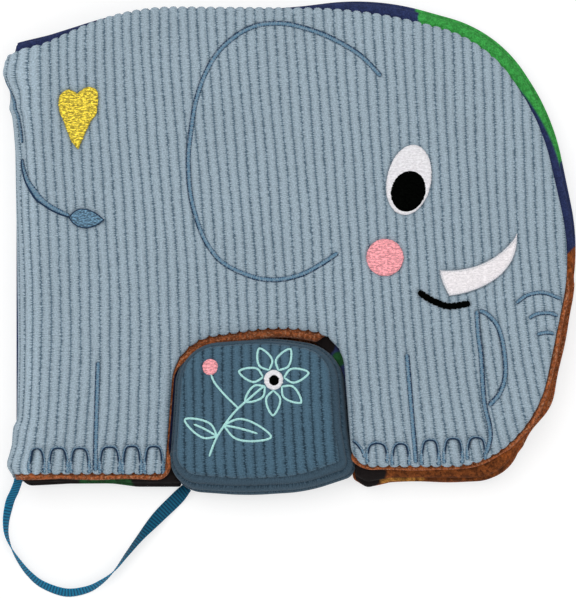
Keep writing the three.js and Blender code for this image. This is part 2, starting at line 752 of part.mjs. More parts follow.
function addEmbroidery() {
  const base = BOOK_THICKNESS + PAD_SEAT;
  const eyeX = BODY_LENGTH - EYE_REACH;
  const eyeY = BACK_HEIGHT - EYE_DROP;
  const eye = eggShape(eyeX, eyeY, EYE_WIDTH, EYE_HEIGHT, EYE_LIFT);
  addThreadPad('eye_white', eye, base, THREAD_WHITE, 0.7);
  const pupil = eggShape(eyeX - PUPIL_SHIFT, eyeY - PUPIL_DROP, PUPIL_WIDTH, PUPIL_HEIGHT, 0);
  addThreadPad('eye_pupil', pupil, base + THREAD_PAD + PAD_SEAT, THREAD_BLACK, 0.6);
  const cheekX = BODY_LENGTH - CHEEK_REACH;
  const cheekY = BACK_HEIGHT - CHEEK_DROP;
  const cheek = new THREE.Shape().absarc(cheekX, cheekY, CHEEK_DIAMETER / 2, 0, 2 * Math.PI);
  addThreadPad('cheek', cheek, base, THREAD_PINK, 0.7);
  addThreadPad('tusk', tuskShape(), base, THREAD_WHITE, 0.7);
  addThreadPad('heart', heartShape(), base, THREAD_GOLD, 0.4);
}

function addCalf() {
  addPiece('calf_front_panel', calfFrontPanel(), CALF_BLUE, 0.95);
  addPiece('calf_gusset', calfGusset(), CALF_BLUE, 0.95);
  addPiece('calf_back_panel', calfBackPanel(), CALF_BLUE, 0.95);
  addPiece('calf_stuffing', calfStuffing(), WADDING_WHITE, 1);
}

addCovers();
addLeaf('leaf_1', LEAF_ONE_SHARE, SPINE_RADIUS + (SHEET_GAP + LEAF_THICKNESS) / 2, NIGHT_NAVY);
addLeaf('leaf_2', 1, SPINE_RADIUS - (SHEET_GAP + LEAF_THICKNESS) / 2, LEAF_GREEN);
addEmbroidery();
addCalf();
addPiece('ribbon', ribbon(), RIBBON_TEAL, 0.6);

export default book;
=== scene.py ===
"""A soft cloth baby book cut out as a standing elephant, with a stuffed calf pad on a ribbon.

Lengths in the code are millimetres on the book: x runs from the spine's outer line to the trunk,
y from the rear foot's sole to the back, and z up from the table. framed() makes them the model's.
"""

import math

import bpy
import numpy as np
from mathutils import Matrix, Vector, kdtree
from mathutils.geometry import delaunay_2d_cdt


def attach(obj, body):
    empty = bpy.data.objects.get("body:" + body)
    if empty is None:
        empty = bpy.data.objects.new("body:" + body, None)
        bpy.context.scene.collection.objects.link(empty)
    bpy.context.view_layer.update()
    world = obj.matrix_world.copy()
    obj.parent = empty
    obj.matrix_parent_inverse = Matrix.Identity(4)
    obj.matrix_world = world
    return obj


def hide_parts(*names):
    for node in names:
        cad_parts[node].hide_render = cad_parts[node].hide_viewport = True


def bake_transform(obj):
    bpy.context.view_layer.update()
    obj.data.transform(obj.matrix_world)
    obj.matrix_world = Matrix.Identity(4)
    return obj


bl_info = {
    "name": "Cloth elephant book",
    "version": (1, 0, 0),
    "blender": (4, 5, 0),
    "location": "3D View > Sidebar > Cloth book",
    "description": "Sews a padded corduroy elephant book with its stuffed calf",
    "category": "Object",
}

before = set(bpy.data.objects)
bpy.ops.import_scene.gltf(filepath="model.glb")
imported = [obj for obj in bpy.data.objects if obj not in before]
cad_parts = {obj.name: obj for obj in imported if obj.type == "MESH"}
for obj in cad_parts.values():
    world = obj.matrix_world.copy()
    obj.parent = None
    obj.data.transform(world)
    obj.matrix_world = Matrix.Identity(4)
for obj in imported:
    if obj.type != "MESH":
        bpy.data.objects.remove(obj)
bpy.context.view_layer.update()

MM = 0.001
PHOTO_WIDTH, PHOTO_HEIGHT = 576, 599
MM_PER_PIXEL = 0.387
# The photograph's column of the spine and row of the rear foot's sole
PHOTO_SPINE, PHOTO_SOLE = 16, 475
ORIGIN_X, ORIGIN_Y = 107.75, 90.65

# The silhouette, as in the solids
BODY_LENGTH, BACK_HEIGHT, SPINE_HEIGHT = 215.5, 181.3, 162.6
FOOT_RISE, FOOT_CORNER = 2.8, 3.5
RUMP_REACH, RUMP_RADIUS = 42.4, 109
ARCH_START, ARCH_SPAN, ARCH_HEIGHT = 57.5, 74, 57
ARCH_LEAN, ARCH_CROWN = 4, 4.5
OVERHANG_TOP, OVERHANG_FRONT, OVERHANG_FOOT = 3.5, 3.5, 5.5
OVERHANG_SPINE, OVERHANG_CREST = 4, 1.6
FRONT_FOOT_CORNER = 9
HEAD_BEND, HEAD_CORNER, HEAD_DROP = 5, 160.4, 3.2
PAGE_LIP = 1.2
LEAF_ONE_SHARE, LEAF_TWO_SHARE, BACK_SHARE = 0.7, 1, 0.85

# The layers
COVER_THICKNESS, LEAF_THICKNESS, SHEET_GAP = 5, 4.9, 0.3
SPINE_RADIUS = COVER_THICKNESS + SHEET_GAP + LEAF_THICKNESS + SHEET_GAP / 2
BOOK_THICKNESS = 2 * SPINE_RADIUS
SPINE_WALL, WADDING_START, LEAF_START = 1.8, 16, 2.8
LINING_THICKNESS = 0.5
COVER_EDGE, LEAF_EDGE = 10, 8
HINGE_X = -0.3

# The calf pad
CALF_THICKNESS, CALF_SEAM_INSET, CALF_SEAM_HEIGHT = 25, 4.5, 3.8
CALF_SWELL, CALF_CROWN_REACH, CALF_SOLE_REACH = 2.65, 18, 20
CALF_LEAN_X, CALF_LEAN_Y = 2.4, 3.5
CALF_BAND_DEPTH, CALF_BAND_LENGTH = 2.2, 240


def linear(code):
    """A colour written as 0xRRGGBB, as the linear numbers that a colour property holds."""
    shares = [((code >> shift) & 255) / 255 for shift in (16, 8, 0)]
    return tuple(s / 12.92 if s <= 0.04045 else ((s + 0.055) / 1.055) ** 2.4 for s in shares)


def colour_property(name, description, code):
    return bpy.props.FloatVectorProperty(
        name=name,
        description=description,
        subtype="COLOR",
        size=3,
        min=0,
        max=1,
        default=linear(code),
    )


def length_property(name, description, millimetres):
    return bpy.props.FloatProperty(
        name=name,
        description=description,
        unit="LENGTH",
        precision=5,
        min=0.00001,
        default=millimetres * MM,
    )


class BookSizes(bpy.types.PropertyGroup):
    """Sizes of the cloths and threads"""

    wale_pitch: length_property("Wale pitch", "Distance between two ribs of the corduroy", 3.75)
    wale_height: length_property("Wale height", "How far a rib stands over its groove", 0.52)
    thread_width: length_property("Line width", "Width of a satin stitched line", 2.0)
    thread_height: length_property("Line height", "How far a stitched line stands up", 0.55)
    pad_height: length_property("Filling height", "Height of a filled embroidered shape", 0.62)
    rim_lip: length_property("Rim lip", "How far the lining shows past the corduroy", 1.9)
    pucker: length_property("Pucker depth", "Depth of the small folds along the page seams", 0.28)
    ribbon_width: length_property("Ribbon width", "Width of the grosgrain ribbon", 5.2)
    ribbon_thickness: length_property("Ribbon thickness", "Thickness over the ribs", 0.5)


class BookColours(bpy.types.PropertyGroup):
    """Colours of the cloths and threads"""

    pale: colour_property("Pale corduroy", "Pile of the covers", 0x98A9B5)
    pale_groove: colour_property("Pale groove", "Ground between the ribs of the covers", 0x5F7686)
    deep: colour_property("Deep corduroy", "Pile of the calf pad", 0x4A6678)
    deep_groove: colour_property("Deep groove", "Ground between the ribs of the calf", 0x2B404F)
    band: colour_property("Band corduroy", "Pile of the band round the calf pad", 0x3F5463)
    line: colour_property("Line thread", "Thread of the elephant's outlines", 0x5E829B)
    line_edge: colour_property("Line edge", "Shaded edges of the outline thread", 0x102C49)
    earth: colour_property("Earth brown", "Lining of the covers", 0x9C5630)
    clay: colour_property("Clay brown", "Printed ground", 0x88471E)
    fleck: colour_property("Worn fibres", "Paler fibres on the lining", 0xD9A27C)
    night: colour_property("Night navy", "Printed sky", 0x28325A)
    meadow: colour_property("Meadow green", "Printed bushes", 0x3A9A45)
    # Painted shade: printed green grass, made darker where the front cover shades the pages under
    # the rear foot and in the arch's gap
    green_in_painted_shade: colour_property("Moss green", "Printed grass under the rear foot", 0x1C4A26)
    # Painted shade: a near black that stands for the shade under the feet and in the arch's gap
    painted_shade: colour_property("Painted shade", "Painted shade under the feet and in the arch's gap", 0x130D0D)
    soil: colour_property("Soil brown", "Printed ground under the front foot", 0x6E3A18)
    straw: colour_property("Straw yellow", "Printed stars", 0xB39A52)
    ochre: colour_property("Ochre", "Printed dry grass by the front foot", 0xAE7634)
    white: colour_property("White thread", "Eye and the tusk's edge", 0xE9E7EB)
    ivory: colour_property("Ivory thread", "Filling of the tusk", 0xF0EBEE)
    shade: colour_property("Thread shade", "Grey beside the white stitches", 0xB2B9C2)
    black: colour_property("Black thread", "Pupil and mouth", 0x040504)
    pink: colour_property("Pink thread", "Cheek", 0xF7A3AA)
    gold: colour_property("Gold thread", "Heart", 0xE0C63C)
    mint: colour_property("Mint thread", "Outlines on the calf pad", 0xB8ECE8)
    ribbon: colour_property("Ribbon", "Ribs of the ribbon", 0x187AA0)
    ribbon_shade: colour_property("Ribbon shade", "Between the ribs", 0x0B4A6B)
    floor: colour_property("Floor", "Lit part of the plain pale floor", 0xB4B4B4)


def sizes():
    """The sizes in millimetres, by name."""
    group = bpy.context.scene.cloth_book_sizes
    return {name: getattr(group, name) / MM for name in BookSizes.__annotations__}


def colours():
    return bpy.context.scene.cloth_book_colours


# Outlines


def elephant_corners(start, share, lip):
    """Corners of a sheet, counter-clockwise from the spine's foot, each with its rounding."""
    foot = FOOT_RISE - share * OVERHANG_FOOT
    front = BODY_LENGTH + share * OVERHANG_FRONT
    back = BACK_HEIGHT + share * OVERHANG_TOP
    slope = (BACK_HEIGHT - SPINE_HEIGHT) / RUMP_REACH
    arch_end = ARCH_START + ARCH_SPAN
    arch_left = ARCH_START + ARCH_LEAN + lip
    arch_top = ARCH_HEIGHT - lip
    arch_side = arch_top - ARCH_CROWN
    head = [
        (front, back - 97, 87),
        (front - 11.7 + share, back - 45.5, 88),
        (front - 33.2 + share, back - 12.5, 60),
        (front - 80, back - 0.3 + share * (OVERHANG_CREST - 0.5), 200 - share * 80),
    ]
    if share == 0:
        return [
            (start, 0, 0),
            (ARCH_START + lip, 0, FOOT_CORNER),
            (arch_left, arch_side - 1.3, 19),
            (102.5, arch_top + 0.2, 100),
            (arch_end - ARCH_LEAN - 1.3, arch_side + 0.9, 15),
            (arch_end - 1.4, foot, FRONT_FOOT_CORNER),
            (front - 33.4, foot + 0.1, 34),
            (front - 12.5, foot + 20.8, 58),
            *head,
            (RUMP_REACH, BACK_HEIGHT + 0.5, RUMP_RADIUS),
            (HEAD_BEND, SPINE_HEIGHT + slope * HEAD_BEND, 6),
            (start, HEAD_CORNER, 0),
        ]
    spine_head = SPINE_HEIGHT + slope * start + share * OVERHANG_SPINE
    return [
        (start, -1.6 * share, 0),
        (5.6, -4.6 * share, 3),
        (20, -3.8 * share, 40),
        (37, -3.7 * share, 40),
        (46.5, -5 * share, 16),
        (64.6, -5 * share, 1),
        (62.3, -1.5, 3),
        (60.9, 2, 5),
        (59.9, 6.5, 10),
        (arch_left + 0.5, arch_side - 1.3, 19),
        (102.5, arch_top + 0.2, 100),
        (113.4, 53.6, 8),
        (126.7, 40.3, 10),
        (arch_end + 0.2, foot + 0.4, 1.5),
        (136, foot - 2.7 * share, 3.5),
        (145, foot - 0.2, 9),
        (front - 30.2, foot - 0.2, 22),
        (front - 20.2, 17.3, 30),
        (front - 12, 27.6, 20),
        *head,
        (100, BACK_HEIGHT - 0.6 * share, 60),
        (RUMP_REACH, BACK_HEIGHT + 0.5 - 1.4 * share, RUMP_RADIUS + share * 50),
        (start, spine_head - (HEAD_DROP if start == 0 else 0), 0),
    ]


def calf_corners():
    """Corners of the calf pad at its widest."""
    left = ARCH_START + PAGE_LIP + 0.3
    right = ARCH_START + ARCH_SPAN - 0.7
    return [
        (left - 0.2, -5.5, 13),
        (89, -8.3, 100),
        (112, -6.9, 60),
        (right + 1, 0, 5.5),
        (right - 1.7, 16, 30),
        (right - 4.1, 48.7, 17),
        (100, 53.3, 120),
        (left + 3.5, 50.2, 19),
    ]


def cross(a, b):
    return a[0] * b[1] - a[1] * b[0]


def rounded_loop(corners, inset=0.0, spine_inset=None, step=0.4):
    """The outline with rounded corners, moved inwards by inset."""
    place = np.array([c[:2] for c in corners], float)
    count = len(corners)
    along = np.roll(place, -1, 0) - place
    along /= np.linalg.norm(along, axis=1)[:, None]
    moved = np.full(count, float(inset))
    if spine_inset is not None:
        moved[-1] = spine_inset
    start = place + np.column_stack([-along[:, 1], along[:, 0]]) * moved[:, None]
    tips = []
    for i in range(count):
        reach = cross(start[i] - start[i - 1], along[i]) / cross(along[i - 1], along[i])
        tips.append(start[i - 1] + along[i - 1] * reach)
    points = []
    for i, (_, _, rounding) in enumerate(corners):
        if rounding == 0:
            points.append(tips[i][None])
            continue
        neighbours = (tips[i - 1], tips[(i + 1) % count])
        room = min(np.linalg.norm(tips[i] - other) for other in neighbours)
        points.append(corner_arc(tips[i], along[i - 1], along[i], rounding, inset, room, step))
    return np.vstack(points)


def corner_arc(tip, along, after, rounding, inset, room, step):
    turn = math.atan2(cross(along, after), float(along @ after))
    side = math.copysign(1, turn)
    slope = math.tan(abs(turn) / 2)
    radius = min(max(rounding - side * inset, 0.3), 0.49 * room / slope)
    inward = side * np.array([-along[1], along[0]])
    centre = tip - along * radius * slope + inward * radius
    steps = max(2, math.ceil(abs(turn) * radius / step))
    angle = turn * np.linspace(0, 1, steps + 1)
    spokes = np.column_stack(
        [
            inward[0] * np.cos(angle) - inward[1] * np.sin(angle),
            inward[0] * np.sin(angle) + inward[1] * np.cos(angle),
        ]
    )
    return centre - radius * spokes


def resampled(points, spacing=1.0, closed=True, count=None):
    """The same line with its points evenly spaced."""
    line = np.vstack([points, points[:1]]) if closed else np.asarray(points, float)
    lengths = np.linalg.norm(np.diff(line, axis=0), axis=1)
    reach = np.concatenate([[0], np.cumsum(lengths)])
    count = count or max(4, round(reach[-1] / spacing))
    at = np.linspace(0, reach[-1], count + 1)
    if closed:
        at = at[:-1]
    return np.column_stack([np.interp(at, reach, line[:, k]) for k in range(line.shape[1])])


def curve(points, spacing=0.35):
    """A smooth line through the points, evenly spaced."""
    line = np.array(points, float)
    ends = np.vstack([2 * line[0] - line[1], line, 2 * line[-1] - line[-2]])
    made = []
    for k in range(len(line) - 1):
        a, b, c, d = ends[k : k + 4]
        t = np.linspace(0, 1, 24, endpoint=False)[:, None]
        made.append(
            0.5
            * (
                2 * b
                + (c - a) * t
                + (2 * a - 5 * b + 4 * c - d) * t**2
                + (3 * b - a - 3 * c + d) * t**3
            )
        )
    made.append(line[-1:])
    return resampled(np.vstack(made), spacing, closed=False)


def directions(points, closed):
    ahead, behind = np.roll(points, -1, 0), np.roll(points, 1, 0)
    if not closed:
        ahead[-1], behind[0] = points[-1], points[0]
    along = ahead - behind
    return along / np.maximum(np.linalg.norm(along, axis=1), 1e-9)[:, None]


def nearest(line, points):
    """For each point, its distance from the line's nearest point and that point's number."""
    tree = kdtree.KDTree(len(line))
    for i, at in enumerate(line.tolist()):
        tree.insert((at[0], at[1], 0), i)
    tree.balance()
    found = [tree.find((x, y, 0))[1:] for x, y in points.tolist()]
    return np.array([f[1] for f in found]), np.array([f[0] for f in found], int)


class Rim:
    """A sewn edge, counter-clockwise, that tells how far inside it a point lies."""

    def __init__(self, points, closed=True):
        self.points = points
        along = directions(points, closed)
        self.inward = np.column_stack([-along[:, 1], along[:, 0]])

    def inset(self, points):
        if len(points) == 0:
            return np.zeros(0)
        distance, number = nearest(self.points, points)
        across = ((points - self.points[number]) * self.inward[number]).sum(1)
        return np.where(distance < 2.5, across, distance * np.sign(across))

    def inside(self, points):
        """The inset, and 0 for points outside the edge."""
        return np.maximum(self.inset(points), 0)


def smooth_step(value):
    t = np.clip(value, 0, 1)
    return t * t * (3 - 2 * t)


def smoothed(values, width):
    """The values, each as a weighted mean with its neighbours."""
    return np.convolve(values, np.hanning(width) / np.hanning(width).sum(), "same")


def swell(inset, reach):
    """Quarter of an ellipse: 0 at the seam and 1 from reach inwards."""
    left = 1 - np.clip(inset / reach, 0, 1)
    return np.sqrt(1 - left * left)


# Meshes


def framed(points):
    return (np.asarray(points, float) - [ORIGIN_X, ORIGIN_Y, 0]) * MM


def filled(loop, inner):
    """Triangles over a closed loop and the points inside it, by their numbers."""
    count = len(loop)
    places = [Vector(p) for p in np.vstack([loop, inner]).tolist()]
    edges = [(i, (i + 1) % count) for i in range(count)]
    _, _, faces, origins, _, _ = delaunay_2d_cdt(places, edges, [], 1, 1e-7)
    if any(not origin for origin in origins):
        raise RuntimeError("an outline crosses itself")
    number = np.array([origin[0] for origin in origins])
    return number[np.array(faces, int)]


def joined(parts):
    """Several (points, faces, uv) as one."""
    points, faces, uvs, start = [], [], [], 0
    for part_points, part_faces, part_uv in parts:
        points.append(part_points)
        faces.append(part_faces + start)
        uvs.append(part_uv)
        start += len(part_points)
    return np.vstack(points), np.vstack(faces), np.vstack(uvs)


def add_piece(name, part, material):
    """A mesh object from points in millimetres on the book, triangles and cloth coordinates."""
    points, faces, uv = part
    mesh = bpy.data.meshes.new(name)
    mesh.vertices.add(len(points))
    mesh.vertices.foreach_set("co", framed(points).astype(np.float32).ravel())
    mesh.loops.add(3 * len(faces))
    mesh.loops.foreach_set("vertex_index", faces.astype(np.int32).ravel())
    mesh.polygons.add(len(faces))
    mesh.polygons.foreach_set("loop_start", np.arange(0, 3 * len(faces), 3, dtype=np.int32))
    mesh.polygons.foreach_set("use_smooth", np.ones(len(faces), bool))
    layer = mesh.uv_layers.new(name="cloth")
    mesh.update(calc_edges=True)
    layer.data.foreach_set("uv", uv[faces.ravel()].astype(np.float32).ravel())
    mesh.materials.append(material)
    piece = bpy.data.objects.new(name, mesh)
    bpy.context.scene.collection.objects.link(piece)
    return piece


def turned_over(part):
    """Upside down within the book's thickness, with the faces still pointing out."""
    points, faces, uv = part
    over = points.copy()
    over[:, 2] = BOOK_THICKNESS - over[:, 2]
    return over, faces[:, ::-1], uv


def layered(loop, top_inner, bottom_inner, top, bottom, cloth_uv=np.asarray):
    """A closed piece between two surfaces that share the loop. top and bottom give a point's
    place from the flat points, and cloth_uv its cloth coordinates, which are the flat points
    themselves where none is given."""
    top_flat = np.vstack([loop, top_inner])
    bottom_flat = np.vstack([loop, bottom_inner])
    top_faces = filled(loop, top_inner)
    bottom_faces = filled(loop, bottom_inner)[:, ::-1] + len(top_flat)
    i = np.arange(len(loop))
    after = (i + 1) % len(loop)
    down, down_after = i + len(top_flat), after + len(top_flat)
    wall = np.vstack(
        [np.column_stack([down, down_after, after]), np.column_stack([down, after, i])]
    )
    points = np.vstack([top(top_flat), bottom(bottom_flat)])
    uv = np.vstack([cloth_uv(top_flat), cloth_uv(bottom_flat)])
    return points, np.vstack([top_faces, bottom_faces, wall]), uv


def ring_points(rim, insets, low_x=-1e9):
    """Rings of points inside a rim, to the right of low_x."""
    made = np.vstack([rim.points + rim.inward * inset for inset in insets])
    return made[made[:, 0] > low_x]


def plain_grid(rim, spacing, least, low_x=-1e9):
    """An even grid of points that lie at least a given distance inside the rim."""
    low, high = rim.points.min(0), rim.points.max(0)
    x, y = np.meshgrid(np.arange(low[0], high[0], spacing), np.arange(low[1], high[1], spacing))
    stagger = (np.arange(y.shape[0]) % 2)[:, None] * spacing / 2
    grid = np.column_stack([(x + stagger).ravel(), y.ravel()])
    grid = grid[grid[:, 0] > low_x]
    return grid[rim.inset(grid) > least]


# Corduroy


# The ribs' lean in millimetres, as powers of the place across and up the book
LEAN = {
    (0, 0): -1.88, (0, 1): -7.87, (0, 2): -3.26, (0, 3): 2.32, (0, 4): 1.74, (1, 1): 0.41,
    (1, 2): 4.74, (1, 3): -5.12, (2, 0): -2.49, (2, 1): 2.43, (2, 2): 5.37, (3, 0): -1.28,
    (3, 1): -1.01, (4, 0): 1.25,
}
# The ribs' shift along the cloth
FIRST_RIB = 8.07

# Where the columns of points stand on a rib, as shares of its width: closest at the grooves
RIB_COLUMNS = np.array([0, 0.06, 0.13, 0.24, 0.37, 0.5, 0.63, 0.76, 0.87, 0.94])


def drift(x, y):
    """How far the ribs wander sideways."""
    across, up = np.maximum(x, 13) / 100 - 1, y / 100 - 1
    lean = sum(size * across**i * up**j for (i, j), size in LEAN.items())
    wobble = 0.13 * np.sin(y / 7.3 + x / 5.1) + 0.06 * np.sin(y / 2.9 - x / 2.2)
    return FIRST_RIB - lean + wobble


def sheet_reach(x):
    """Distance along the cover's cloth, which runs round the spine below SPINE_RADIUS."""
    return np.where(x < SPINE_RADIUS, SPINE_RADIUS - (SPINE_RADIUS - x) * math.pi / 2, x)


def reach_to_x(reach):
    short = SPINE_RADIUS - (SPINE_RADIUS - reach) * 2 / math.pi
    return np.where(reach < SPINE_RADIUS, short, reach)


def corduroy_uv(points, pitch):
    reach = sheet_reach(points[:, 0])
    return np.column_stack([(reach + drift(reach, points[:, 1])) / pitch, points[:, 1] / pitch])


def corduroy_points(rim, pitch, row, least):
    """Points in columns that follow the ribs, closer together at the grooves."""
    low, high = rim.points.min(0), rim.points.max(0)
    first = math.floor(float(sheet_reach(low[0])) / pitch) - 3
    last = math.ceil(high[0] / pitch) + 7
    columns = (np.arange(first, last)[:, None] + RIB_COLUMNS).ravel() * pitch
    u, y = np.meshgrid(columns, np.arange(low[1], high[1], row))
    reach = u - FIRST_RIB
    for _ in range(6):
        reach = u - drift(reach, y)
    grid = np.column_stack([reach_to_x(reach).ravel(), y.ravel()])
    grid = grid[grid[:, 0] > low[0] + 0.1]
    return grid[rim.inset(grid) > least]


def rib_profile(uv, pitch):
    """Height of the pile from 0 in the groove to 1 on the rib."""
    phase = uv[:, 0] - np.floor(uv[:, 0])
    away = np.minimum(phase, 1 - phase) * pitch
    half = pitch / 2
    return 0.6 * smooth_step(away / 0.75) + 0.4 * (1 - (1 - away / half) ** 2)


# Covers


# How far the fold puffs out past the spine's straight line, at heights up the spine
SPINE_FLARE = [
    (-8, 1.2), (-2, 1.7), (0.4, 2.3), (1.5, 3.1), (2.7, 3.8), (5, 3.8), (7.7, 2.9), (11.6, 1.9),
    (15.5, 1.7), (18.6, 1.35), (20.4, 0.2), (22, -0.2), (52, -0.4), (90, 0), (125.8, 0.6),
    (133.5, 1.2), (139.3, 1.9), (142, 3.1), (145, 2.7), (149, 3.1), (152, 4.6), (154.4, 5.5),
    (156.7, 5.5), (160, 4.8), (164.5, 3.4), (168, 2.7), (180, 2.2),
]


def spine_flare(y):
    heights, outs = zip(*SPINE_FLARE)
    level = np.arange(-20, 200, 0.25)
    return np.interp(y, level, smoothed(np.interp(level, heights, outs), 11))


def fanned(flat):
    """A leaf's points moved out with the fold that holds them."""
    near = 1 - smooth_step((flat[:, 0] - LEAF_START) / 11)
    return np.column_stack([flat[:, 0] - spine_flare(flat[:, 1]) * near, flat[:, 1]])


def onto_sheet(points):
    """Where a point seen from above lies on the flat cover sheet."""
    seen = np.array(points, float)
    x = seen[:, 0].copy()
    for _ in range(12):
        angle = np.where(x < SPINE_RADIUS, math.pi / 2 * (1 - x / SPINE_RADIUS), 0)
        out = seen[:, 0] + spine_flare(seen[:, 1]) * np.sin(angle) ** 1.5
        bent = np.arccos(np.clip(1 - out / SPINE_RADIUS, 0, 1)) * 2 / math.pi * SPINE_RADIUS
        x = np.where(out < SPINE_RADIUS, np.maximum(bent, 0.3), out)
    return np.column_stack([x, seen[:, 1]])


def folded(x, y, depth):
    """A point of the flat cover sheet laid round the half-round spine."""
    angle = np.where(x < SPINE_RADIUS, math.pi / 2 * (1 - x / SPINE_RADIUS), 0)
    radius = SPINE_RADIUS - depth
    across = np.where(x < SPINE_RADIUS, SPINE_RADIUS - radius * np.sin(angle), x)
    up = SPINE_RADIUS + radius * np.cos(angle)
    near = np.sin(angle) ** 1.5
    return np.column_stack([across - spine_flare(y) * near, y, up])


def cover_depth(x):
    spread = smooth_step((x - WADDING_START / 3) / (WADDING_START - WADDING_START / 3))
    return SPINE_WALL + (COVER_THICKNESS - SPINE_WALL) * spread


def cloth_depth(x, inset):
    return (cover_depth(x) - SPINE_WALL) * (1 - swell(inset, COVER_EDGE))


def cover_chain(share, spacing):
    """A cover's sewn edge from the spine's foot round to the spine's head."""
    corners = elephant_corners(0, share, share * PAGE_LIP)
    return resampled(rounded_loop(corners, 0, 0), spacing, closed=False)


def spine_points(chain, spacing):
    """The points along the spine that close a cover's chain."""
    head, foot = chain[-1], chain[0]
    count = max(2, round(np.linalg.norm(head - foot) / spacing))
    share = np.arange(1, count)[:, None] / count
    return head + (foot - head) * share


class FrontFace:
    """The front cover's outer surface, which the stitched pieces lie on."""

    def __init__(self):
        self.rim = Rim(cover_chain(0, 0.3), closed=False)

    def place(self, flat, lift):
        depth = cloth_depth(flat[:, 0], self.rim.inset(flat)) - lift
        return folded(flat[:, 0], flat[:, 1], depth)


def stitched_dents(points):
    """How far the stitches pull the front cover's cloth down."""
    tail, _ = tail_path()
    lines = np.vstack([*outline_paths(), tail, *toe_paths(), mouth_path(), *creased_paths()])
    near, _ = nearest(lines, points)
    depth = 0.78 * np.exp(-((near / 1.35) ** 2))
    flat = np.exp(-((near / 1.1) ** 2))
    for loop in (eye_loop(), cheek_loop(), tusk_loop(), heart_loop(), tuft_loop()):
        low, high = loop.min(0) - 2.5, loop.max(0) + 2.5
        close = np.all((points > low) & (points < high), axis=1)
        inside = smooth_step((Rim(loop).inset(points[close]) + 1.3) / 1.3)
        depth[close] = np.maximum(depth[close], 0.5 * inside)
        flat[close] = np.maximum(flat[close], inside)
    return depth, flat


def cover_swell(points):
    """Slow unevenness of the wadding under the cloth."""
    x, y = points[:, 0], points[:, 1]
    return 0.16 * np.sin(x / 19 + y / 31) + 0.12 * np.sin(x / 11 - y / 14 + 1) - 0.2


# Up to this distance from the spine's outer line, the plain sides of a cover have rows of points
FOLD_END = 12


def fold_points(low, high, step):
    """Points of a cover's sheet where it bends round the spine, in rows up the book."""
    return np.array([(x, y) for x in (1.5, 3, 5, 7.5, 10) for y in np.arange(low, high, step)])


def cover_cloth(share, row, proud, stitched):
    """The corduroy outer cloth of a cover, with its ribs, over a plain inner face. Points on the
    ribs stand row apart, and the cloth stands proud of the solid."""
    size = sizes()
    pitch, height = size["wale_pitch"], size["wale_height"]
    chain = cover_chain(share, 0.42)
    rim = Rim(chain, closed=False)
    phase = corduroy_uv(chain, pitch)[:, 0] % 1
    groove = np.abs(phase - 0.5) * 2
    cut_back = 1.5 * (1 - np.sqrt(1 - 0.96 * groove**2)) * np.abs(rim.inward[:, 1]) ** 2
    cut_back += 0.13 * (np.arange(len(chain)) % 2)
    scalloped = chain + rim.inward * cut_back[:, None]
    scalloped[0, 0] = scalloped[-1, 0] = 0
    spine = spine_points(scalloped, 0.9)
    loop = np.vstack([scalloped, spine])
    rings = []
    for inset in (0.12, 0.34, 0.7, 1.15):
        rings.append(chain + rim.inward * (inset + cut_back * (1 - inset / 1.6))[:, None])
    rings = np.vstack(rings)
    rings = rings[rings[:, 0] > 0.15]
    columns = corduroy_points(rim, pitch, row, 1.75)
    coarse = plain_grid(rim, 6, 3, low_x=0.5)
    coarse = np.vstack([coarse[coarse[:, 0] > FOLD_END], fold_points(4, 160, 6)])

    def top(flat):
        inset = rim.inside(flat)
        uv = corduroy_uv(flat, pitch)
        fade = 0.55 + 0.45 * smooth_step(inset / 1.5)
        press, flattened = np.zeros(len(flat)), np.zeros(len(flat))
        if stitched:
            press, flattened = stitched_dents(flat)
        ribs = (rib_profile(uv, pitch) * (1 - 0.85 * flattened) - 1) * height * fade
        depth = cloth_depth(flat[:, 0], inset) - ribs - proud + press
        depth -= cover_swell(flat) * smooth_step(inset / 14) * smooth_step(flat[:, 0] / 16)
        depth += 0.55 * (1 - swell(inset, 0.6))
        return folded(flat[:, 0], flat[:, 1], depth)

    def bottom(flat):
        depth = cover_depth(flat[:, 0]) - LINING_THICKNESS - 0.02
        return folded(flat[:, 0], flat[:, 1], depth)

    fine = np.vstack([rings, columns])
    return layered(loop, fine, coarse, top, bottom, lambda flat: corduroy_uv(flat, pitch))


# How far the lining stays behind the corduroy's edge where it doesn't show
LIP_TUCK = 1.7


def rim_lip(points, lip, share):
    """The lining shows past the corduroy on the feet, the arch's left and top, and the trunk."""
    x, y = points[:, 0], points[:, 1]
    shown = smooth_step((95 - y) / 30)
    in_arch = smooth_step((x - 54) / 3) * smooth_step((139 - x) / 3) * smooth_step((y - 6) / 5)
    arch_top = smooth_step((y - 38) / 10) * smooth_step((122 - x) / 6)
    arch_left = smooth_step((70 - x) / 6) * (1 - arch_top)
    arch_right = smooth_step((x - 117) / 4)
    front_foot = smooth_step((x - 125) / 10) * smooth_step((12 - y) / 4)
    arch = in_arch * (0.4 * arch_top - 0.35 * arch_left - arch_right)
    shown = shown * (1 + arch) * (1 - 0.22 * front_foot)
    if share > 0:
        shown = shown * (1 - 0.75 * smooth_step((67 - x) / 6))
    return (lip + LIP_TUCK) * shown - LIP_TUCK


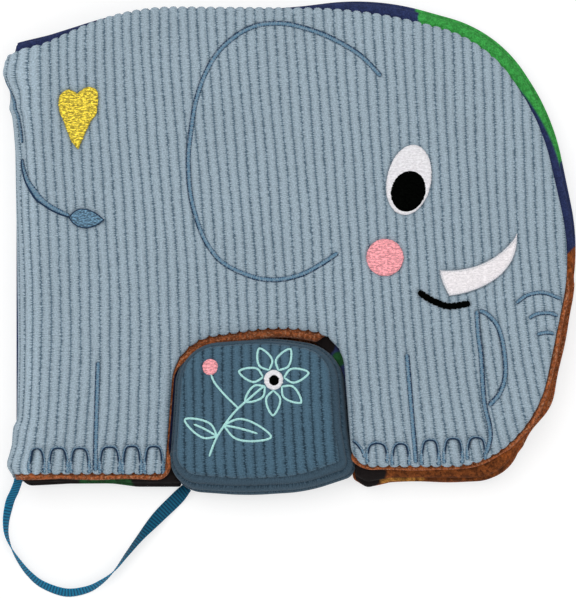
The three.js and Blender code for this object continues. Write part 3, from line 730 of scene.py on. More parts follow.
def cover_lining(share):
    """The printed cotton inside of a cover, with the rolled edge that shows past the corduroy."""
    size = sizes()
    chain = cover_chain(share, 0.7)
    inner = Rim(chain, closed=False)
    lip = rim_lip(chain, size["rim_lip"], share)
    lip += 0.2 * np.sin(np.arange(len(chain)) * 0.17 + 0.6) * (lip > 1)
    outer = chain - inner.inward * lip[:, None]
    outer[0, 0] = outer[-1, 0] = 0
    rim = Rim(outer, closed=False)
    loop = np.vstack([outer, spine_points(outer, 2)])
    rings = ring_points(rim, (0.08, 0.3, 0.6, 0.95, 1.3, 1.6, 1.85, 2.2, 3.2, 5), low_x=0.3)
    rings = rings[rim.inset(rings) > 0.02]
    grid = plain_grid(rim, 3.2, 6, low_x=0.5)
    inside = np.vstack([rings, grid[grid[:, 0] > FOLD_END], fold_points(6, 158, 5)])

    def bead(flat, inset):
        lips = rim_lip(flat, size["rim_lip"], share)
        across = np.clip((inset / np.maximum(lips * 0.98, 0.3) - 0.5) * 2, -1, 1)
        return 0.62 * np.maximum(lips, 0) * np.sqrt(1 - across**2) * smooth_step(flat[:, 0] / 8)

    def top(flat):
        inset = rim.inside(flat)
        depth = cover_depth(flat[:, 0]) - LINING_THICKNESS - bead(flat, inset)
        depth += 0.15 * (1 - swell(inset, 0.4))
        return folded(flat[:, 0], flat[:, 1], depth)

    def bottom(flat):
        inset = rim.inside(flat)
        round_off = 0.25 * (1 - swell(inset, 0.6))
        ripple = 0.1 * np.sin(flat[:, 0] / 5 + flat[:, 1] / 7) * smooth_step((inset - 2) / 6)
        return folded(
            flat[:, 0], flat[:, 1], cover_depth(flat[:, 0]) - round_off - 0.1 - np.abs(ripple)
        )

    return layered(loop, inside, inside, top, bottom)


# Leaves


def leaf_half(share, middle, side):
    """Half of a padded leaf, from the plane of its seam to its printed face."""
    size = sizes()
    loop = resampled(rounded_loop(elephant_corners(LEAF_START, share, PAGE_LIP)), 0.7)
    rim = Rim(loop)
    rings = ring_points(rim, (0.06, 0.25, 0.6, 1.1, 1.8, 2.7, 4))
    rings = rings[rim.inset(rings) > 0.03]
    grid = plain_grid(rim, 2.2, 4.8)
    coarse = plain_grid(rim, 9, 3)
    full = LEAF_THICKNESS / 2 - 0.1
    around = np.arange(len(loop)) * 0.7

    def outer(flat):
        inset = rim.inside(flat)
        _, number = nearest(loop, flat)
        at = around[number]
        folds = np.sin(at * 1.05 + 1.3 * np.sin(at * 0.21)) + 0.6 * np.sin(at * 0.43 + side)
        pucker = size["pucker"] * folds * np.exp(-inset / 3.5) * swell(inset, 1.2)
        quilting = 0.08 * np.sin(flat[:, 0] / 7 + flat[:, 1] / 9 * side) * smooth_step(inset / 9)
        height = full * swell(inset, LEAF_EDGE) + pucker * 0.6 - np.abs(quilting)
        return np.column_stack([fanned(flat), middle + side * np.minimum(height, full)])

    def seam(flat):
        return np.column_stack([fanned(flat), np.full(len(flat), middle + side * 0.01)])

    fine = np.vstack([rings, grid])
    if side > 0:
        return layered(loop, fine, coarse, outer, seam)
    return layered(loop, coarse, fine, seam, outer)


def hinge_web(middle):
    """The sewn edge of a leaf: a flat strip of its cloth that runs out to the hinge line."""
    share = np.linspace(0, 1, 9)
    x = LEAF_START + 1.2 + (HINGE_X - LEAF_START - 1.2) * share
    z = middle + (SPINE_RADIUS - middle) * smooth_step(share)
    half = 0.22 * (1 - 0.6 * share)
    x, z = np.concatenate([x, x[::-1]]), np.concatenate([z + half, (z - half)[::-1]])
    return swept([np.column_stack([x, np.full(len(x), y), z]) for y in np.linspace(3, 158, 80)])


def swept(sections, uv=None):
    """A closed tube through sections that are loops of the same number of points."""
    count, size = len(sections), len(sections[0])
    points = np.vstack(sections)
    a = (np.arange(count - 1)[:, None] * size + np.arange(size)).ravel()
    b = (np.arange(count - 1)[:, None] * size + (np.arange(size) + 1) % size).ravel()
    faces = [np.column_stack([a, a + size, b + size]), np.column_stack([a, b + size, b])]
    fan = np.arange(1, size - 1)
    first = np.column_stack([np.zeros(size - 2, int), fan, fan + 1])
    last = (count - 1) * size
    faces += [first, first[:, ::-1] + last]
    return points, outward(points, np.vstack(faces)), points[:, :2] if uv is None else uv


def outward(points, faces):
    """The faces of a closed mesh, turned where they point inwards."""
    corners = points[faces]
    volume = np.einsum("ij,ij->i", corners[:, 0], np.cross(corners[:, 1], corners[:, 2])).sum()
    return faces[:, ::-1] if volume < 0 else faces


# Stitches


def outline_paths():
    """The satin stitched lines of the ear, the legs, the trunk and its tip."""
    ear = [(141.3, 154.4), (132.7, 162.9), (120.4, 169.9), (107.2, 174.2), (99, 174.8)]
    ear += [(92.5, 173.8), (85.5, 170.3), (78.2, 163.7), (72.8, 154.4), (69.3, 143.6)]
    ear += [(67.3, 130.4), (66.6, 121.5), (67.3, 109.9), (69.3, 101), (73.1, 90.9)]
    ear += [(79.7, 82.4), (90.6, 77), (100.2, 75.5), (109.9, 77.4), (117.6, 81.3), (124.6, 85.9)]
    rear_leg = [(31.7, 43.7), (31, 22), (30.6, 1.4)]
    front_leg = [(151.3, 46.8), (153.2, 24), (154.8, 4.6)]
    trunk = [(178.4, 63.6), (178.9, 54.8), (180, 46.1), (181.2, 28.8), (183.2, 19.4)]
    trunk += [(183.6, 14.7), (182.9, 11), (182, 8.2)]
    tip = [(179.4, 63.6), (182.2, 62.3), (185.6, 58.9), (187.7, 54), (188.9, 47.8)]
    tip += [(189.4, 40.9), (188.8, 35.7), (186.7, 30.9), (183, 26.8)]
    return [curve(line) for line in (ear, rear_leg, front_leg[::-1], trunk[::-1], tip)]


# The heights between which the tail's line dips behind the fold
TAIL_HIDDEN = (122.4, 128.6)


def tail_path():
    """The tail's line from the spine to its tuft, and its width along the way."""
    seen = [(-4.9, 152.9), (-4.1, 150.9), (-2.7, 147.8), (-1.5, 144.4), (-0.4, 140.1)]
    seen += [(0.6, 136.2), (1.3, 132.4), (1.7, 128.5), (1.8, 125), (1.8, 121.9), (2.3, 118.8)]
    seen += [(3.8, 114.2), (6.3, 110.3), (9.4, 106.6), (12.9, 104), (17, 101.8), (20.6, 100.3)]
    widths = [1.6, 1.7, 1.6, 1.4, 1.1, 0.9, 0.7, 0.5, 0.45]
    widths += [0.7, 1.1, 1.6, 2.1, 2.4, 2.4, 2.1, 1.5]
    places = onto_sheet(seen)
    path = curve(places)
    _, number = nearest(path, places)
    return path, np.interp(np.arange(len(path)), number, widths)


def toe_paths():
    """The arches stitched over the toes."""
    rear = [(7.9, 10.1, 0.6, 2.4), (16.3, 10.4, 0.6, 2.8), (24.7, 10.3, 0.6, 2.8)]
    rear += [(36.2, 10.8, 0.6, 3.1), (44.8, 11.1, 0.2, 2.8), (53.3, 11, 0.2, 2.8)]
    front = [(139.8, 12.3, 4.6, 3.2), (148.9, 12.1, 3.6, 2.6), (160.3, 13.5, 3.6, 2.6)]
    front += [(169.2, 14.1, 4.4, 2.8), (178.2, 14.5, 5.8, 2.8)]
    arches = [toe_arch(*toe) for toe in rear + front]
    arches.append([(130.4, 13.4), (131.8, 12.4), (133.4, 10.4), (134.6, 8.2), (135, 6.6)])
    return [curve(onto_sheet(line)) for line in arches]


# From a toe arch's inner edge to its middle line, and how far from the spine the arches are thin
TOE_BAND, FOLDED_TOE = 0.62, 8.5


def toe_width(path):
    """Toe arches are thin at the top and on the fold, and spread towards the hem."""
    top, low = path[:, 1].max(), path[:, 1].min()
    spread = 1.0 + 1.0 * smooth_step((top - path[:, 1] - 1.5) / (0.8 * (top - low)))
    return spread * (0.55 + 0.45 * smooth_step((path[:, 0] - FOLDED_TOE) / 4))


def toe_shade_lines(path):
    """The thin dark line of painted shade on the inner side of a toe arch's upper half."""
    inner = path - Rim(path, closed=False).inward * 0.42
    top, low = path[:, 1].max(), path[:, 1].min()
    return inner[inner[:, 1] > low + 0.42 * (top - low)]


def toe_arch(x, top, foot, inner):
    half, top = inner + TOE_BAND, top + 0.35
    return [
        (x - half, foot),
        (x - half, foot + (top - foot) * 0.55),
        (x - half * 0.72, top - 0.9),
        (x, top),
        (x + half * 0.72, top - 0.9),
        (x + half, foot + (top - foot) * 0.55),
        (x + half, foot),
    ]


def creased_paths():
    """The three short creases on the trunk."""
    lines = [
        [(193.6, 66.5), (197.4, 69.3), (201.2, 70.4), (205, 70.4), (209.1, 68.9), (211.4, 68.1)],
        [(198.5, 60.6), (201.5, 62.2), (206, 62.7), (209.8, 61.6)],
        [(201.7, 54.3), (204, 54.9), (206.4, 55.1), (208.4, 54.6)],
    ]
    return [curve(line) for line in lines]


def mouth_path():
    return curve([(155.8, 71), (158.8, 68.8), (162.7, 66.8), (167.7, 65.3), (175.7, 66.4)])


def egg_loop(x, y, width, height, lift=0.0, lean=0.0):
    """An egg standing up, widest a little below its middle, its top leaning right."""
    angle = np.linspace(0, 2 * math.pi, 140, endpoint=False)
    tall = np.where(np.sin(angle) > 0, height / 2 + lift, height / 2 - lift)
    up = tall * np.sin(angle) - lift
    return np.column_stack([x + width / 2 * np.cos(angle) + lean * up, y + up])


def eye_loop():
    return egg_loop(152.1, 114.2, 17.3, 27.2, 0.6, 0.12)


def pupil_loop():
    return egg_loop(151.8, 109.8, 13.4, 15.8, 0, 0.1)


def cheek_loop():
    return egg_loop(142.8, 84.2, 14.4, 14.4)


def bezier(a, b, c, d, steps=24):
    t = np.linspace(0, 1, steps, endpoint=False)[:, None]
    a, b, c, d = (np.array(p, float) for p in (a, b, c, d))
    return a * (1 - t) ** 3 + 3 * b * t * (1 - t) ** 2 + 3 * c * t**2 * (1 - t) + d * t**3


def tusk_loop():
    x, y, length, lift, root = 164.1, 79.3, 29.8, 14, 10
    tip = (x + length, y + lift)
    low = (x + root * 0.37, y - root)
    under = bezier(low, (low[0] + length * 0.32, low[1] + 1), (tip[0] + 1.2, tip[1] - 17), tip)
    over = bezier(tip, (tip[0] - 6, tip[1] - root), (x + length * 0.4, y - 1), (x, y))
    side = bezier((x, y), (x, y - 3), (low[0] - 1.6, low[1] + 2), low, 8)
    return np.vstack([side, under, over])


def heart_loop():
    """A heart cut by hand, its right lobe a little higher."""
    right = [(23.6, 147.5), (26.2, 149.6), (28.6, 150.2), (31.2, 148.9), (31.8, 144.6)]
    right += [(30.9, 139.4), (28.7, 136.4), (25.8, 130), (24, 126)]
    left = [(24, 126), (21.3, 129.4), (18.7, 136), (16.5, 141.8), (16.9, 146.7)]
    left += [(19.8, 149.1), (22.2, 148.6), (23.6, 147.5)]
    return np.vstack([curve(right)[:-1], curve(left)[:-1]])[::-1]


def tuft_loop():
    """The leaf-shaped tuft at the tail's end."""
    root, tip = (20.3, 99.6), (34.3, 98.7)
    under = bezier(root, (23, 94.6), (29, 94), tip)
    over = bezier(tip, (29.5, 103.4), (23.6, 105.4), root)
    return np.vstack([under, over])


def stitched_band(path, place, width, height, sunk, closed=False, stitch=0.62, rough=0.06):
    """A satin stitched line: a low round band with the ridges of its slanted stitches."""
    count = len(path)
    along = directions(path, closed)
    sideways = np.column_stack([along[:, 1], -along[:, 0]])
    step = np.linalg.norm(path[1] - path[0])
    reach = np.arange(count) * step
    across = np.array([-1, -0.86, -0.55, 0, 0.55, 0.86, 1])
    ragged = 1 + rough * np.sin(reach * 6.1) + rough * 0.8 * np.sin(reach * 3.3 + 1)
    if not closed:
        ragged *= np.clip(np.minimum(reach, reach[::-1]) / 0.5, 0.35, 1)
    columns, uvs = [], []
    for a in across:
        flat = path + sideways * (a / 2 * width * ragged)[:, None]
        ridge = 0.07 * np.cos(2 * math.pi * (reach / stitch + a * 0.22))
        lift = height * math.sqrt(max(1 - a * a, 0)) + ridge * (1 - a * a) - sunk
        columns.append(place(flat, lift))
        uvs.append(np.column_stack([np.full(count, a / 2 + 0.5), reach]))
    for a in (0.8, -0.8):
        flat = path + sideways * (a / 2 * width * ragged)[:, None]
        columns.append(place(flat, np.full(count, -sunk - 0.45)))
        uvs.append(np.column_stack([np.full(count, a / 2 + 0.5), reach]))
    sections = np.stack(columns, axis=1)
    uv = np.stack(uvs, axis=1)
    if closed:
        return closed_band(sections, uv)
    return swept(list(sections), uv.reshape(-1, 2))


def closed_band(sections, uv):
    """A band whose end meets its start."""
    count, size = sections.shape[:2]
    points = sections.reshape(-1, 3)
    i, k = np.meshgrid(np.arange(count), np.arange(size), indexing="ij")
    a = (i * size + k).ravel()
    b = (i * size + (k + 1) % size).ravel()
    c = ((i + 1) % count * size + (k + 1) % size).ravel()
    d = ((i + 1) % count * size + k).ravel()
    faces = np.vstack([np.column_stack([a, d, c]), np.column_stack([a, c, b])])
    return points, outward(points, faces), uv.reshape(-1, 2)


def filled_stitches(loop, place, height, sunk, row=0.5, seed=1):
    """A shape filled with rows of stitches: a low pad with a ragged edge and a ridge a row."""
    loop = resampled(loop, 0.16)
    rim = Rim(loop)
    draw = np.random.default_rng(seed)
    jitter = draw.uniform(-1, 1, 400)
    rows = np.floor((loop[:, 1] - loop[:, 1].min()) / row).astype(int)
    loop = loop - rim.inward * (0.13 * jitter[rows % 400] * np.abs(rim.inward[:, 0]))[:, None]
    rim = Rim(loop)
    low, high = loop.min(0), loop.max(0)
    x, y = np.meshgrid(np.arange(low[0], high[0], 0.6), np.arange(low[1], high[1], row / 4))
    grid = np.column_stack([x.ravel(), y.ravel()])
    grid = grid[rim.inset(grid) > 0.3]
    rings = ring_points(rim, (0.1,))
    rings = rings[rim.inset(rings) > 0.05]
    coarse = plain_grid(rim, 2.5, 1)

    def top(flat):
        inset = rim.inside(flat)
        ridge = 0.05 * np.cos(2 * math.pi * flat[:, 1] / row)
        uneven = 0.03 * np.sin(flat[:, 0] * 2.3 + np.floor(flat[:, 1] / row) * 1.9)
        return place(flat, height * swell(inset, 0.9) + (ridge + uneven) * swell(inset, 1) - sunk)

    def bottom(flat):
        return place(flat, np.full(len(flat), -sunk - 0.4))

    return layered(loop, np.vstack([rings, grid]), coarse, top, bottom)


# Calf pad


def calf_place(x, y, z):
    level = (z / CALF_THICKNESS - 0.5) * 2
    return np.column_stack([x - level * CALF_LEAN_X, y + level * CALF_LEAN_Y, z])


def calf_loop(inset, spacing):
    return resampled(rounded_loop(calf_corners(), inset), spacing)


def calf_uv(points, pitch):
    u = points[:, 0] + 0.6 * drift(points[:, 0] + 30, points[:, 1] + 12)
    return np.column_stack([u / pitch, points[:, 1] / pitch])


class CalfFace:
    """The calf pad's front panel, which its motif is stitched on."""

    def __init__(self):
        self.rim = Rim(calf_loop(CALF_SEAM_INSET, 0.3))

    def height(self, flat):
        inset = self.rim.inside(flat)
        return CALF_THICKNESS - CALF_SWELL * (1 - swell(inset, CALF_CROWN_REACH))

    def place(self, flat, lift):
        return calf_place(flat[:, 0], flat[:, 1], self.height(flat) + lift)


def calf_panel(spacing, pitch):
    """A panel's outline, its rim, and the points inside it for the ribs and for the plain side."""
    loop = calf_loop(CALF_SEAM_INSET - 0.25, spacing)
    rim = Rim(loop)
    ribs = [ring_points(rim, (0.12, 0.35, 0.7, 1.1)), calf_columns(rim, pitch, 1.35)]
    return loop, rim, np.vstack(ribs), plain_grid(rim, 6, 3)


def calf_front(face):
    """The upper panel, pressed down under its stitches."""
    size = sizes()
    pitch, height = size["wale_pitch"], size["wale_height"]
    loop, rim, ribbed, plain = calf_panel(0.42, pitch)
    motif = np.vstack(motif_paths())

    def top(flat):
        inset = rim.inside(flat)
        near, _ = nearest(motif, flat)
        pressed = np.exp(-((near / 1.0) ** 2))
        for disc in motif_discs().values():
            under = np.linalg.norm(flat - disc.mean(0), axis=1) < 7
            share = smooth_step((Rim(disc).inset(flat[under]) + 1) / 0.8)
            pressed[under] = np.maximum(pressed[under], share)
        ribs = (rib_profile(calf_uv(flat, pitch), pitch) * (1 - 0.7 * pressed) - 1) * height
        z = face.height(flat) + ribs * (0.5 + 0.5 * smooth_step(inset / 2)) - 0.25 * pressed
        z -= 1.15 * (1 - swell(inset, 1.5)) - 0.2
        return calf_place(flat[:, 0], flat[:, 1], z)

    def bottom(flat):
        level = CALF_THICKNESS - CALF_SEAM_HEIGHT
        return calf_place(flat[:, 0], flat[:, 1], np.full(len(flat), level))

    return layered(loop, ribbed, plain, top, bottom, lambda flat: calf_uv(flat, pitch))


def calf_columns(rim, pitch, least):
    """Points in columns that follow the pad's ribs, closer together at the grooves."""
    low, high = rim.points.min(0), rim.points.max(0)
    first, last = math.floor(low[0] / pitch) - 1, math.ceil(high[0] / pitch) + 1
    columns = (np.arange(first, last)[:, None] + RIB_COLUMNS).ravel() * pitch
    u, y = np.meshgrid(columns, np.arange(low[1], high[1], 0.8))
    x = u - 0.6 * drift(u + 30, y + 12)
    grid = np.column_stack([x.ravel(), y.ravel()])
    return grid[rim.inset(grid) > least]


def calf_sole():
    """The lower panel, flattened where it lies on the table."""
    size = sizes()
    pitch, height = size["wale_pitch"], size["wale_height"] * 0.8
    loop, rim, ribbed, plain = calf_panel(0.6, pitch)

    def bottom(flat):
        inset = rim.inside(flat)
        left = 1 - np.clip(inset / CALF_SOLE_REACH, 0, 1)
        ribs = (1 - rib_profile(calf_uv(flat, pitch), pitch)) * height
        z = CALF_SWELL * left * left + ribs + 1.1 * (1 - swell(inset, 1.5))
        return calf_place(flat[:, 0], flat[:, 1], z + 0.02)

    def top(flat):
        return calf_place(flat[:, 0], flat[:, 1], np.full(len(flat), CALF_SEAM_HEIGHT))

    return layered(loop, plain, ribbed, top, bottom, lambda flat: calf_uv(flat, pitch))


def band_outline(level, drawn_in, around):
    """The band's outline at a height, and how far up or down from its middle that is."""
    across = (level - CALF_THICKNESS / 2) / (CALF_THICKNESS / 2 - CALF_SEAM_HEIGHT)
    inset = CALF_SEAM_INSET * across**2 + drawn_in
    return resampled(rounded_loop(calf_corners(), inset), count=around), across


def calf_band():
    """The corduroy band round the calf pad, whose ribs run lengthwise."""
    size = sizes()
    pitch, height = size["wale_pitch"], size["wale_height"]
    low, high = CALF_SEAM_HEIGHT, CALF_THICKNESS - CALF_SEAM_HEIGHT
    levels = np.linspace(low, high, 60)
    around = len(calf_loop(0, 0.8))
    reach = np.linspace(0, 1, around, endpoint=False) * CALF_BAND_LENGTH
    sections, uvs = [], []
    for level in levels:
        seam = 0.9 * (1 - float(swell(min(level - low, high - level), 1.5)))
        loop, across = band_outline(level, seam, around)
        u = (level + 1.1 + 0.22 * np.sin(reach / 9)) / pitch
        profile = rib_profile(np.column_stack([u, u]), pitch)
        inward = Rim(loop).inward
        wave = 0.25 * np.sin(reach / 14 + 1) * (1 - across**2)
        loop = loop + inward * ((1 - profile) * height)[:, None]
        loop = loop - inward * wave[:, None]
        sections.append(calf_place(loop[:, 0], loop[:, 1], np.full(around, level)))
        uvs.append(np.column_stack([u, reach / pitch]))
    for level, uv in ((high, uvs[-1]), (CALF_THICKNESS / 2, uvs[len(levels) // 2]), (low, uvs[0])):
        loop, _ = band_outline(level, CALF_BAND_DEPTH, around)
        sections.append(calf_place(loop[:, 0], loop[:, 1], np.full(around, level)))
        uvs.append(uv)
    return closed_band(np.stack(sections, axis=1), np.stack(uvs, axis=1))


def motif_paths():
    """The plain flower stitched on the calf pad: petals, a bent stem, leaves and a bud."""
    flower = (102, 33.5)
    paths = [curve([(77, 4), (80.5, 12), (86.5, 20.5), (93.5, 27), (98.6, 31.3)], 0.3)]
    for k in range(7):
        turn = math.radians(12 + k * 360 / 7)
        x, y = flower[0] + 4.1 * math.cos(turn), flower[1] + 4.1 * math.sin(turn)
        paths.append(leaf_outline(x, y, turn, 9.6, 0.36))
    paths.append(curve([(88.3, 22.6), (83.2, 27.6), (79.3, 32.3), (77.8, 35.6)], 0.3))
    for x, y, turn, length in ((80.3, 11.6, 152, 14.5), (82.6, 16, -14, 19)):
        turn = math.radians(turn)
        paths.append(leaf_outline(x, y, turn, length, 0.27))
        end = (x + 0.72 * length * math.cos(turn), y + 0.72 * length * math.sin(turn))
        paths.append(curve([(x, y), ((x + end[0]) / 2, (y + end[1]) / 2 + 0.3), end], 0.3))
    return paths


def motif_discs():
    """The filled rounds of the flower: its white middle with a black spot, and a pink bud."""
    return {
        "white_round": egg_loop(102, 33.5, 7.4, 7.8),
        "black_round": egg_loop(102.3, 33.2, 3.9, 4.1),
        "pink_round": egg_loop(77.4, 38.6, 6, 6.4),
    }


def leaf_outline(x, y, turn, length, share):
    side = share * length
    flat = [(0, 0), (0.3, 0.75), (0.68, 0.62), (1, 0), (0.68, -0.62), (0.3, -0.75), (0, 0)]
    points = []
    for a, b in flat:
        along, across = a * length, b * side
        points.append(
            (
                x + along * math.cos(turn) - across * math.sin(turn),
                y + along * math.sin(turn) + across * math.cos(turn),
            )
        )
    return curve(points, 0.3)


# Finishes


class Finish:
    """A procedural material, with short calls for the nodes that it is built from."""

    def __init__(self, name, roughness=0.9, sheen=0.0, specular=0.25):
        self.material = bpy.data.materials.new(name)
        self.material.use_nodes = True
        self.tree = self.material.node_tree
        self.shader = self.tree.nodes["Principled BSDF"]
        self.shader.inputs["Roughness"].default_value = roughness
        self.shader.inputs["Specular IOR Level"].default_value = specular
        self.shader.inputs["Sheen Weight"].default_value = sheen
        self.shader.inputs["Sheen Roughness"].default_value = 0.4

    def node(self, kind, inputs=None, output=0, **settings):
        node = self.tree.nodes.new(kind)
        for name, value in settings.items():
            setattr(node, name, value)
        for key, value in (inputs or {}).items():
            self.feed(node.inputs[key], value)
        return node.outputs[output]

    def feed(self, socket, value):
        if isinstance(value, bpy.types.NodeSocket):
            self.tree.links.new(value, socket)
        elif socket.type == "RGBA" and len(value) == 3:
            socket.default_value = (*value, 1)
        else:
            socket.default_value = value

    def cloth(self):
        """The piece's own cloth coordinates."""
        return self.node("ShaderNodeUVMap", uv_map="cloth")

    def on_book(self):
        """The place on the book in millimetres."""
        place = self.node("ShaderNodeTexCoord", output="Object")
        move = {"Location": (ORIGIN_X, ORIGIN_Y, 0), "Scale": (1 / MM, 1 / MM, 1 / MM)}
        return self.node("ShaderNodeMapping", {"Vector": place, **move})

    def scaled(self, vector, x, y, z=1.0):
        inputs = {0: vector, 1: (x, y, z)}
        return self.node("ShaderNodeVectorMath", inputs, operation="MULTIPLY")

    def part(self, vector, axis):
        return self.node("ShaderNodeSeparateXYZ", {0: vector}, output=axis)

    def math(self, operation, a, b=0.0, c=0.0):
        return self.node("ShaderNodeMath", {0: a, 1: b, 2: c}, operation=operation)

    def plus(self, a, b):
        return self.math("ADD", a, b)

    def minus(self, a, b):
        return self.math("SUBTRACT", a, b)

    def times(self, a, b):
        return self.math("MULTIPLY", a, b)

    def ramp(self, value, low, high, to_low=0.0, to_high=1.0):
        inputs = {0: value, 1: low, 2: high, 3: to_low, 4: to_high}
        return self.node("ShaderNodeMapRange", inputs, interpolation_type="SMOOTHSTEP")

    def noise(self, vector, scale, detail=2.0, roughness=0.5):
        inputs = {"Vector": vector, "Scale": scale, "Detail": detail, "Roughness": roughness}
        return self.node("ShaderNodeTexNoise", inputs)

    def mix(self, share, a, b, blend="MIX"):
        inputs = {0: share, 6: a, 7: b}
        return self.node("ShaderNodeMix", inputs, 2, data_type="RGBA", blend_type=blend)

    def shaded(self, colour, value, low, high):
        """The colour made darker or lighter by a value from 0 to 1."""
        level = self.ramp(value, 0.0, 1.0, low, high)
        return self.node("ShaderNodeVectorMath", {0: colour, "Scale": level}, operation="SCALE")

    def finish(self, colour, height=None, distance=0.2, strength=0.6):
        self.feed(self.shader.inputs["Base Color"], colour)
        if height is not None:
            inputs = {"Height": height, "Distance": distance * MM, "Strength": strength}
            bump = self.node("ShaderNodeBump", inputs)
            self.feed(self.shader.inputs["Normal"], bump)
        return self.material


def corduroy(name, pile, groove, spine_light=1.0):
    """Ribbed pile: plain ribs whose edges break into short tufts over softer ground."""
    f = Finish(name, roughness=0.95, sheen=0.2, specular=0.08)
    cloth = f.cloth()
    u, v = f.part(cloth, 0), f.part(cloth, 1)
    away = f.times(f.math("PINGPONG", u, 0.5), 2.0)
    side = f.times(f.math("FLOOR", f.times(u, 2.0)), 7.3)
    shifted = f.node("ShaderNodeCombineXYZ", {0: u, 1: f.plus(v, side)})
    tufts = f.ramp(f.noise(f.scaled(shifted, 1.5, 9.5), 1.0, 1.0, 0.5), 0.38, 0.62)
    gaps = f.times(f.minus(1.0, tufts), f.ramp(away, 0.95, 0.3, 0.25, 1.0))
    grain = f.noise(f.scaled(cloth, 6.5, 9.0), 1.0, 3.0, 0.65)
    fibres = f.noise(f.scaled(cloth, 26.0, 44.0), 1.0, 2.0, 0.6)
    slow = f.noise(f.on_book(), 0.03, 2.0)
    edge = f.minus(away, f.times(gaps, 0.24))
    edge = f.plus(edge, f.times(f.minus(grain, 0.5), 0.3))
    pile_share = f.ramp(edge, -0.1, 0.19)
    tone = f.shaded(f.shaded(pile, gaps, 1.07, 0.8), slow, 0.95, 1.05)
    tone = f.shaded(f.shaded(tone, grain, 0.42, 1.58), fibres, 0.88, 1.12)
    # Painted light: with a factor other than 1, the pile turns lighter by that factor over the last
    # 14 mm towards the spine's fold.
    if spine_light != 1:
        tone = f.shaded(tone, f.ramp(f.part(f.on_book(), 0), 14.0, 1.0), 1.0, spine_light)
    colour = f.mix(pile_share, f.shaded(groove, tufts, 0.8, 1.25), tone)
    height = f.minus(f.times(grain, 0.9), f.times(gaps, 0.8))
    height = f.plus(height, f.times(fibres, 0.3))
    f.shader.inputs["Sheen Tint"].default_value = (0.8, 0.87, 0.95, 1)
    return f.finish(colour, height, 0.35, 0.6)


def weave(f, place, pitch=0.55):
    """Plain weave as a height from 0 to 1: over and under in both directions."""
    u = f.math("SINE", f.times(f.part(place, 0), 2 * math.pi / pitch))
    v = f.math("SINE", f.times(f.part(place, 1), 2 * math.pi / pitch))
    return f.plus(f.times(f.times(u, v), 0.5), 0.5)


def blob(f, place, x, y, radius, uneven=6.0, soft=0.6):
    """1 inside a round patch with a slightly uneven edge."""
    inputs = {0: f.scaled(place, 1, 1, 0), 1: (x, y, 0)}
    away = f.node("ShaderNodeVectorMath", inputs, "Value", operation="DISTANCE")
    if uneven:
        away = f.plus(away, f.times(f.noise(place, 0.11, 2.0), uneven))
    reach = radius + uneven / 2
    return f.ramp(away, reach + soft, reach - soft)


def printed_cotton(name, sky, ground, rise, patches=(), dots=None):
    """Printed cotton: a plain sky over rising ground, round patches of print and of painted shade,
    and scattered dots.
    """
    f = Finish(name, roughness=0.9, sheen=0.1, specular=0.15)
    place = f.on_book()
    x, y = f.part(place, 0), f.part(place, 1)
    colour = sky
    if dots is not None:
        cells = f.node(
            "ShaderNodeTexVoronoi", {"Vector": f.scaled(place, 1, 1, 0), "Scale": 0.055}, "Distance"
        )
        colour = f.mix(f.ramp(cells, 0.085, 0.065), colour, dots)
    low, high, start, end = rise
    slope = f.ramp(x, start, end, low, high)
    wave = f.times(f.math("SINE", f.times(x, 0.09)), 3.0)
    over = f.minus(y, f.plus(slope, wave))
    blotch = f.ramp(f.noise(place, 0.5, 3.0, 0.6), 0.34, 0.66)
    colour = f.mix(f.ramp(over, 0.5, -0.5), colour, f.shaded(ground, blotch, 0.65, 1.25))
    for patch_x, patch_y, radius, uneven, tint in patches:
        if patch_y < 0:
            tint = f.shaded(tint, blotch, 0.6, 1.35)
        colour = f.mix(blob(f, place, patch_x, patch_y, radius, uneven), colour, tint)
    threads = weave(f, place)
    grain = f.noise(place, 2.2, 3.0, 0.65)
    specks = f.ramp(f.noise(place, 1.1, 2.0, 0.6), 0.36, 0.66)
    mottle = f.ramp(f.noise(place, 0.4, 3.0, 0.6), 0.35, 0.7)
    colour = f.shaded(f.shaded(colour, grain, 0.62, 1.38), threads, 0.88, 1.08)
    colour = f.shaded(f.shaded(colour, mottle, 0.84, 1.13), specks, 0.84, 1.16)
    height = f.plus(threads, f.times(grain, 0.8))
    return f.finish(colour, height, 0.12, 0.6)


def lining_cotton():
    """The brown lining, worn and paler on its fibres along the rolled edge, with painted shade
    round the arch's top.
    """
    tone = colours()
    f = Finish("brown lining", roughness=0.92, sheen=0.15, specular=0.12)
    place = f.on_book()
    fibres = f.ramp(f.noise(place, 0.95, 3.0, 0.6), 0.33, 0.7)
    flecks = f.ramp(f.noise(place, 1.3, 2.0, 0.5), 0.54, 0.68)
    slow = f.noise(place, 0.12, 2.0)
    threads = weave(f, place, 0.6)
    colour = f.shaded(f.shaded(tone.earth, fibres, 0.5, 1.4), slow, 0.85, 1.15)
    colour = f.mix(f.times(flecks, 0.55), f.shaded(colour, threads, 0.88, 1.1), tone.fleck)
    # Painted shade: the lining is made darker, down to 70 %, in a round patch round the top of the
    # arch, where the cover shades the rolled edge.
    arch_painted_shade = blob(f, place, 97, 68, 36, 0, soft=5)
    colour = f.shaded(colour, arch_painted_shade, 1.0, 0.7)
    height = f.plus(threads, f.plus(fibres, flecks))
    return f.finish(colour, height, 0.2, 0.7)


